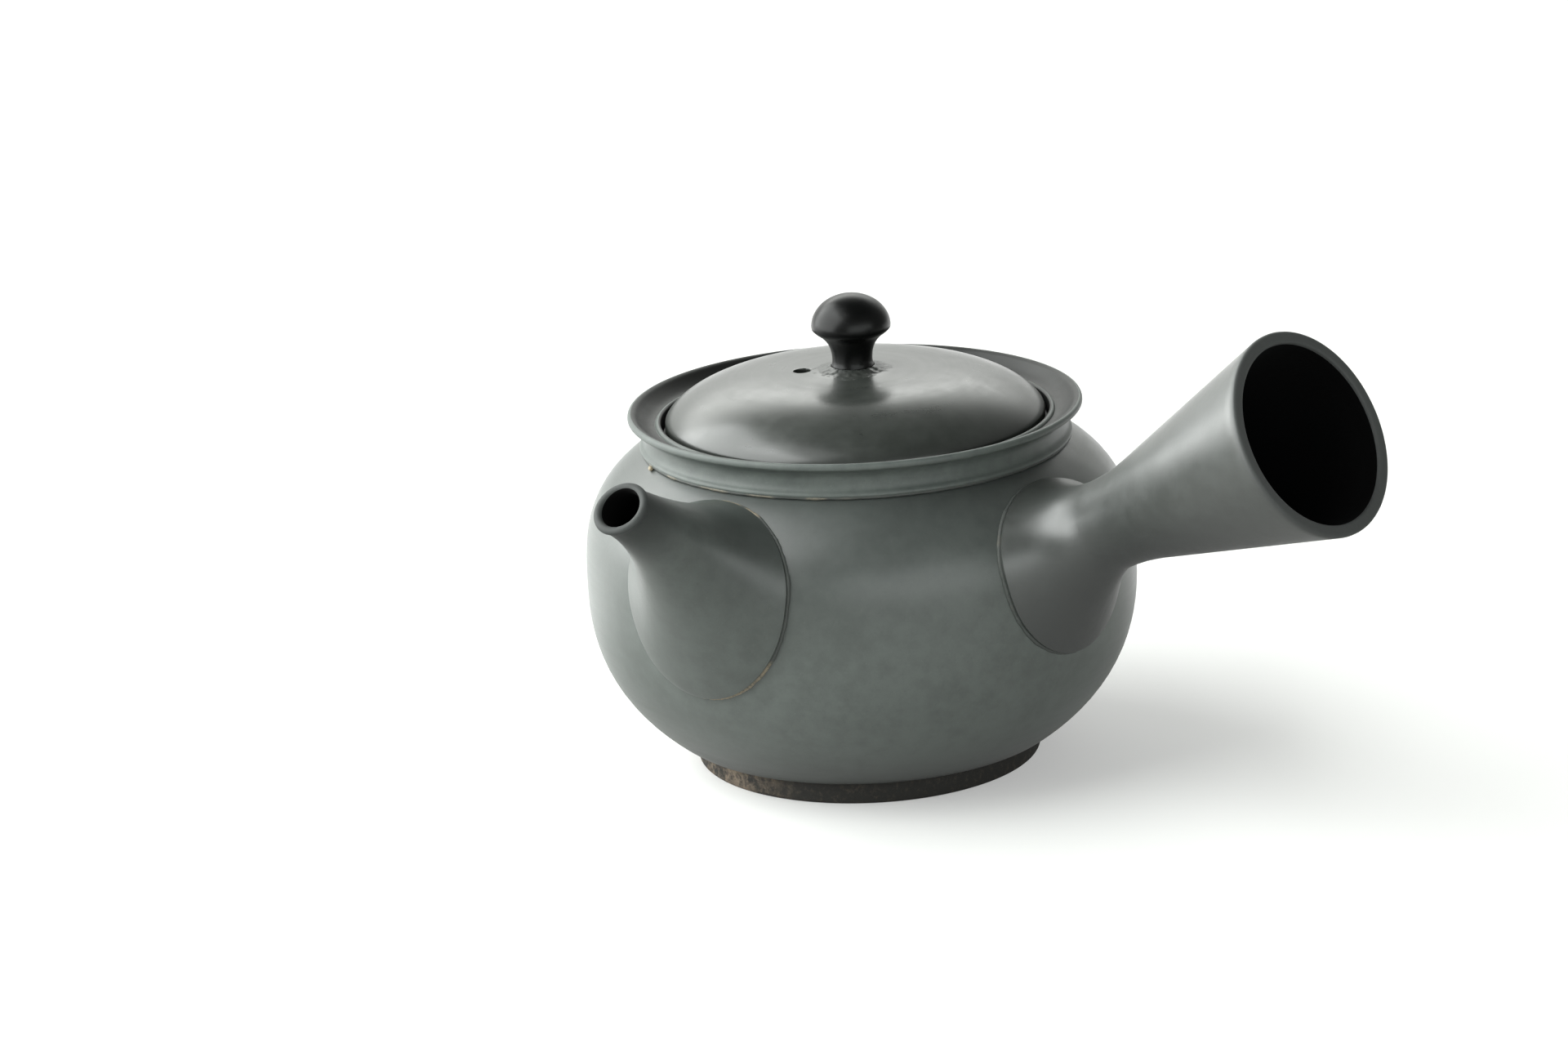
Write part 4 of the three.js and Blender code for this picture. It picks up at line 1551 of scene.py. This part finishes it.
@dataclass
class Handle:
    """The hollow handle that flares to an open mouth."""

    form: BellyForm
    flange: Flange = HANDLE_FLANGE
    axis_height: float = 14.2
    rise: float = 27.8
    neck_length: float = 9.9
    length: float = 61.3
    neck_radius: float = 8.6
    mouth_radius: float = 19.05
    wall: float = 2.3
    neck_blend: float = 0.207
    neck_pull: float = 19.4
    lip: float = 0.8
    first_shares: Triple = (0.008, 0.024, 0.05)
    outer_steps: int = 34
    cone_steps: int = 20
    inner_steps: int = 22
    sides: int = 160
    finish: BurnishedClay = BurnishedClay(
        # The handle's clay is darker than the belly's; the darker colour is painted shade for its shaded
        # underside.
        dark=(0.038, 0.042, 0.038),
        light=(0.055, 0.060, 0.056),
        dull=0.36,
        bounce=1.80,
        coat=0.20,
        grain=Grain.PULLED,
        along=(0.8846, 0.0, 0.4664),
        # The handle's inside is unburnished and duller; its near-black colour is painted shade.
        hollow=Hollow(
            origin=(52.5, 0.0, 50.4), axis=(0.8846, 0.0, 0.4664), inside_shade=(0.0006, 0.0006, 0.0007),
            dull=0.95, until=60.6,
        ),
        # Painted shade: the handle is darker and duller round its mouth, and darker on its underside.
        shade_patches=(
            ShadePatch((133.3, 0.0, 93.0), 37.2, 0.90, 0.05, 0.45),
            ShadePatch((80.0, 6.0, 10.0), 64.0, 0.85, 0.40, 0.06),
        ),
    )

    def share(self, along: float) -> float:
        """Share of the cone's spread that is reached at a share of its length.

        Args:
            along: Share of the length.

        Returns:
            Share of the spread.
        """
        blend = self.neck_blend
        run = along ** 2 / (2 * blend) if along < blend else along - blend / 2
        return run / (1 - blend / 2)

    def build(self) -> None:
        """Lofts and dresses the handle."""
        plane = Plane(self.flange.azimuth)
        axis = plane.rising(self.rise)
        start = plane.point(self.form.radius, self.form.widest + self.axis_height)
        arrive = axis * self.neck_pull

        def ring(along: float, radius: float) -> Ring:
            """Ring about the handle's axis."""
            return plane.ring(start + axis * along, axis, radius, self.sides)

        def cone(inset: float, at: Sequence[float]) -> list[Ring]:
            """Rings of one face of the cone.

            Args:
                inset: How far the face lies inside the outer one.
                at: Shares of the cone's length.

            Returns:
                The rings.
            """
            neck = self.neck_radius - inset
            mouth = self.mouth_radius - inset
            length = self.length - self.lip - self.neck_length
            return [ring(self.neck_length + length * s, neck + (mouth - neck) * self.share(s)) for s in at]

        rim = self.mouth_radius
        bore = rim - self.wall
        outside = [*self.first_shares, *shares(self.outer_steps)[2:]]
        along_cone = shares(self.cone_steps)
        rings = self.flange.foot_rings(self.form, self.sides)
        outer_end = ring(self.neck_length, self.neck_radius)
        rings += self.flange.horn(self.form, True, outer_end, arrive, outside)
        rings += cone(0.0, along_cone)
        for back, radius in (
            (0.45, rim),
            (0.2, rim - 0.12),
            (0.04, rim - 0.38),
            (0.0, rim - 0.7),
            (0.0, bore + 0.6),
            (0.08, bore + 0.25),
            (0.3, bore + 0.05),
        ):
            rings.append(ring(self.length - back, radius))
        rings += cone(self.wall, along_cone[::-1])
        inner_end = ring(self.neck_length, self.neck_radius - self.wall)
        rings += self.flange.horn(self.form, False, inner_end, arrive, shares(self.inner_steps)[::-1])
        piece = lay_rings("pulled_handle", rings)
        dress(piece, self.finish, "burnished_handle_clay", "handle")


@dataclass
class Seams:
    """The threads of slip that fill the joints."""

    form: BellyForm
    thread: float = 0.42
    neck_thread: float = 0.34
    outset: float = 0.10
    raised: float = 0.06
    uneven: tuple[Point, ...] = ((0.32, 0.55), (0.18, 2.1))
    neck_outset: float = 0.42
    neck_drop: float = 0.05
    neck_height: float = 62.15
    foot_inset: float = 0.15
    foot_rise: float = 0.1
    steps: int = 360
    sides: int = 10
    spout_rubs: tuple[Rub, ...] = (
        Rub((-4.6, -51.6, 28.8), 3.0),
        Rub((-1.5, -51.9, 27.2), 6.0),
        Rub((1.1, -51.7, 26.6), 7.0),
        Rub((8.7, -50.9, 26.1), 7.0),
        Rub((14.5, -50.3, 28.5), 4.5),
        Rub((18.4, -49.0, 32.4), 3.5),
        Rub((5.9, -42.2, 60.5), 3.5),
        Rub((11.6, -42.3, 59.6), 2.5),
    )
    neck_rubs: tuple[Triple, ...] = (
        (-19.5, -35.6, 1.3),
        (-11.0, -39.1, 2.2),
        (0.7, -40.6, 4.0),
        (10.9, -39.1, 3.4),
        (20.8, -34.9, 2.4),
    )
    crumb_place: Triple = (-19.4, -36.25, 61.8)
    crumb_radius: float = 0.5
    crumb_clay: SeamSlip = SeamSlip(dark=(0.34, 0.29, 0.20), tan=(0.50, 0.43, 0.31), worn=1.0)

    def circle(self, radius: float, height: float) -> Ring:
        """Circle about the pot's axis."""
        angles = circle_angles(self.steps)
        return [Vector((radius * math.cos(a), radius * math.sin(a), height)) for a in angles]

    def along(self, name: str, path: Ring, radius: float, finish: SeamSlip) -> None:
        """Lays an uneven thread of slip along a closed path.

        Args:
            name: The piece's name.
            path: Points of its middle.
            radius: Its radius in millimetres.
            finish: Its finish.
        """
        rings = []
        for i, here in enumerate(path):
            forward = (path[(i + 1) % len(path)] - path[i - 1]).normalized()
            outward = self.form.normal(here)
            across = forward.cross(outward).normalized()
            outward = across.cross(forward).normalized()
            thick = radius * (1 + sum(depth * noise.noise(here * fine) for depth, fine in self.uneven))
            rings.append([
                here + across * (thick * math.cos(a)) + outward * (thick * math.sin(a))
                for a in circle_angles(self.sides)
            ])
        dress(lay_rings(name, rings), finish, name + "_slip", edge=70.0)

    def crumb(self) -> None:
        """Leaves a crumb of tan clay that was fired onto the neck's seam."""
        put_down()
        place = Vector(self.crumb_place) * MM
        bpy.ops.mesh.primitive_ico_sphere_add(subdivisions=4, radius=self.crumb_radius * MM, location=place)
        piece = bpy.context.object
        piece.name = "neck_crumb"
        bpy.ops.object.transform_apply(location=True, rotation=True, scale=True)
        roughen(piece, depth=0.18, grain=0.6, seed=5.0)
        dress(piece, self.crumb_clay, "crumb_clay", edge=60.0)

    def build(self) -> None:
        """Lays the threads round the spout, the handle, the neck and the foot."""
        for name, flange, finish in (
            ("spout_seam", SPOUT_FLANGE, SeamSlip(worn=0.30, rubs=self.spout_rubs)),
            ("handle_seam", HANDLE_FLANGE, SeamSlip(worn=0.20)),
        ):
            loop = self.form.lift(flange.loop(self.form, -self.outset, self.steps), self.raised)
            self.along(name, loop, self.thread, finish)
        rubs = tuple(Rub((x, y, self.neck_height), reach) for x, y, reach in self.neck_rubs)
        slip = SeamSlip(tan=(0.21, 0.19, 0.15), worn=0.36, patch=9.0, rubs=rubs)
        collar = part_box("neck_collar")[0][2] / MM
        neck = self.circle(self.form.mouth + self.neck_outset, collar - self.neck_drop)
        self.along("neck_seam", neck, self.neck_thread, slip)
        self.crumb()
        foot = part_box("foot")[1]
        base = self.circle(foot[0] / MM - self.foot_inset, foot[2] / MM + self.foot_rise)
        self.along("foot_seam", base, self.thread, SeamSlip(worn=0.25))


# Studio


@dataclass(frozen=True)
class Softbox:
    """A square lamp that faces the pot. Angles are in degrees, lengths in metres."""

    name: str
    azimuth: float
    elevation: float
    width: float
    height: float
    power: float
    colour: Triple
    distance: float = 1.1
    target_height: float = 0.045

    def place(self) -> None:
        """Sets the lamp up."""
        lamp = bpy.data.lights.new(self.name, "AREA")
        lamp.shape = "RECTANGLE"
        lamp.size = self.width
        lamp.size_y = self.height
        lamp.energy = self.power
        lamp.color = self.colour
        stand = bpy.data.objects.new(self.name, lamp)
        bpy.context.collection.objects.link(stand)
        away = Plane(self.azimuth).rising(self.elevation)
        stand.location = UP * self.target_height + away * self.distance
        stand.rotation_euler = away.to_track_quat("Z", "Y").to_euler()


@dataclass(frozen=True)
class Camera:
    """The camera where the photograph was taken from. Angles are in degrees, lengths in millimetres."""

    azimuth: float = -48.3
    elevation: float = 17.330
    distance: float = 937.65
    target_height: float = 35.0
    roll: float = -2.597
    pitch: float = -0.6478
    yaw: float = 0.8854
    lens: float = 112.5
    sensor: float = 36.0

    def place(self) -> None:
        """Sets the camera up and makes it the scene's."""
        plane = Plane(self.azimuth)
        toward = -plane.rising(self.elevation)
        right = plane.side
        down = toward.cross(right)
        roll, pitch, yaw = (
            Matrix.Rotation(math.radians(angle), 3, axis)
            for angle, axis in ((self.roll, "Z"), (self.pitch, "X"), (self.yaw, "Y"))
        )
        right, down, toward = roll @ pitch @ yaw @ Matrix((right, down, toward))
        place = UP * self.target_height + plane.rising(self.elevation) * self.distance
        columns = Matrix((right, -down, -toward)).transposed().to_4x4()
        data = bpy.data.cameras.new("camera")
        data.lens = self.lens
        data.sensor_width = self.sensor
        data.clip_start = 0.01
        data.clip_end = 50.0
        camera = bpy.data.objects.new("camera", data)
        camera.matrix_world = Matrix.Translation(place * MM) @ columns
        bpy.context.collection.objects.link(camera)
        bpy.context.scene.camera = camera


@dataclass
class Studio:
    """White table and backdrop, a window at the left, a dim room and the camera."""

    camera: Camera = Camera()
    floor_size: float = 8.0
    floor_colour: Triple = (0.65, 0.653, 0.637)
    floor_bounce: Triple = (0.34, 0.34, 0.33)
    floor_glow: float = 0.32
    floor_gleam: float = 0.18
    floor_far_gleam: float = 1.3
    glow_span: Point = (0.50, 1.1)
    gleam_span: Point = (0.0, 0.13)
    room: float = 0.24
    overhead: float = 0.08
    overhead_span: Point = (0.55, 0.95)
    horizon: float = 1.12
    backdrop: float = 4.8
    backdrop_turn: float = -167.0
    backdrop_span: Point = (0.28, 0.80)
    backdrop_fall: Point = (0.76, 0.44)
    bright_span: Point = (0.55, 0.95)
    bright_rise: Point = (0.26, 0.46)
    daylight: Triple = (0.98, 1.0, 0.965)
    window_light: Triple = (0.97, 1.0, 0.985)
    reflected_light: Triple = (0.95, 1.0, 0.98)

    @staticmethod
    def rays(recipe: Recipe) -> tuple[Sock, Sock]:
        """Masks of the rays through which the camera sees a thing, and of glossy rays.

        Args:
            recipe: The material or world.

        Returns:
            The two masks.
        """
        node = recipe.add("ShaderNodeLightPath", {}).socket.node
        names = ("Is Camera Ray", "Is Transmission Ray", "Is Glossy Ray")
        camera, through, glossy = (Sock(recipe, node.outputs[name]) for name in names)
        return camera.larger(through), glossy

    def middle(self) -> Vector:
        """Direction of the brightest part of the backdrop."""
        return Plane(self.camera.azimuth + self.backdrop_turn).out

    def floor(self) -> None:
        """Lays the pale table, which glows more and more with the distance from the pot."""
        put_down()
        bpy.ops.mesh.primitive_plane_add(size=self.floor_size)
        floor = bpy.context.object
        floor.name = "floor"
        recipe = Recipe(bpy.data.materials.new("white_paper"))
        seen, glossy = self.rays(recipe)
        colour = recipe.blend(seen, self.floor_bounce, self.floor_colour)
        paper = recipe.add("ShaderNodeBsdfDiffuse", {"Color": colour})
        middle = self.middle() * MM
        x, y, _ = recipe.split(recipe.place())
        behind = (x * middle.x + y * middle.y).step(*self.gleam_span)
        gleam = self.floor_gleam + behind * (self.floor_far_gleam - self.floor_gleam)
        away = ((x * x + y * y).root() * MM).step(*self.glow_span)
        strength = seen * (away * (1.0 - self.floor_glow) + self.floor_glow) + glossy * gleam
        glow = recipe.add("ShaderNodeEmission", {"Strength": strength})
        floor.data.materials.append(recipe.finish(recipe.add("ShaderNodeAddShader", {0: paper, 1: glow})))

    def world(self) -> None:
        """Sets the white backdrop behind the pot and the dim room before it."""
        recipe = Recipe(bpy.data.worlds.new("studio"))
        across, beside, height = recipe.split(recipe.add("ShaderNodeTexCoord", {}, "Generated"))
        middle = self.middle()
        toward = across * middle.x + beside * middle.y
        seen, _ = self.rays(recipe)
        room = self.room - height.step(*self.overhead_span) * (self.room - self.overhead)
        bright = height.step(*self.bright_rise) * toward.step(*self.bright_span)
        backdrop = self.horizon + bright * (self.backdrop - self.horizon)
        shown = toward.step(*self.backdrop_span) * height.step(*self.backdrop_fall)
        light = room + shown * (backdrop - room)
        sockets = {
            "Color": recipe.blend(seen, self.daylight, (1.0, 1.0, 1.0)),
            "Strength": seen + (1.0 - seen) * light,
        }
        back = recipe.add("ShaderNodeBackground", sockets)
        bpy.context.scene.world = recipe.finish(back, "ShaderNodeOutputWorld")

    def build(self) -> None:
        """Sets up the table, the surroundings, the lamps and the camera."""
        self.floor()
        self.world()
        facing = self.camera.azimuth
        for box in (
            Softbox("window", facing - 90.0, 31.0, 1.9, 1.36, 42.0, self.window_light),
            Softbox("skylight", facing - 64.0, 62.0, 0.8, 0.5, 2.0, self.window_light),
            Softbox("reflector", facing + 26.0, 14.0, 1.50, 0.50, 5.4, self.reflected_light),
        ):
            box.place()
        self.camera.place()
        view = bpy.context.scene.view_settings
        view.view_transform = "Standard"


def main() -> None:
    """Builds the pot, piece by piece, and then the studio."""
    logging.basicConfig(level=logging.INFO, format="%(name)s: %(message)s")
    form = BellyForm.framed()
    strainer = Strainer(form)
    lid = Lid()
    Foot().build()
    Belly(form).build(strainer)
    strainer.build()
    Collar(form).build()
    Spout(form).build()
    Handle(form).build()
    Seams(form).build()
    lid.build()
    Knob(lid).build()
    Studio().build()


if __name__ == "__main__":
    main()
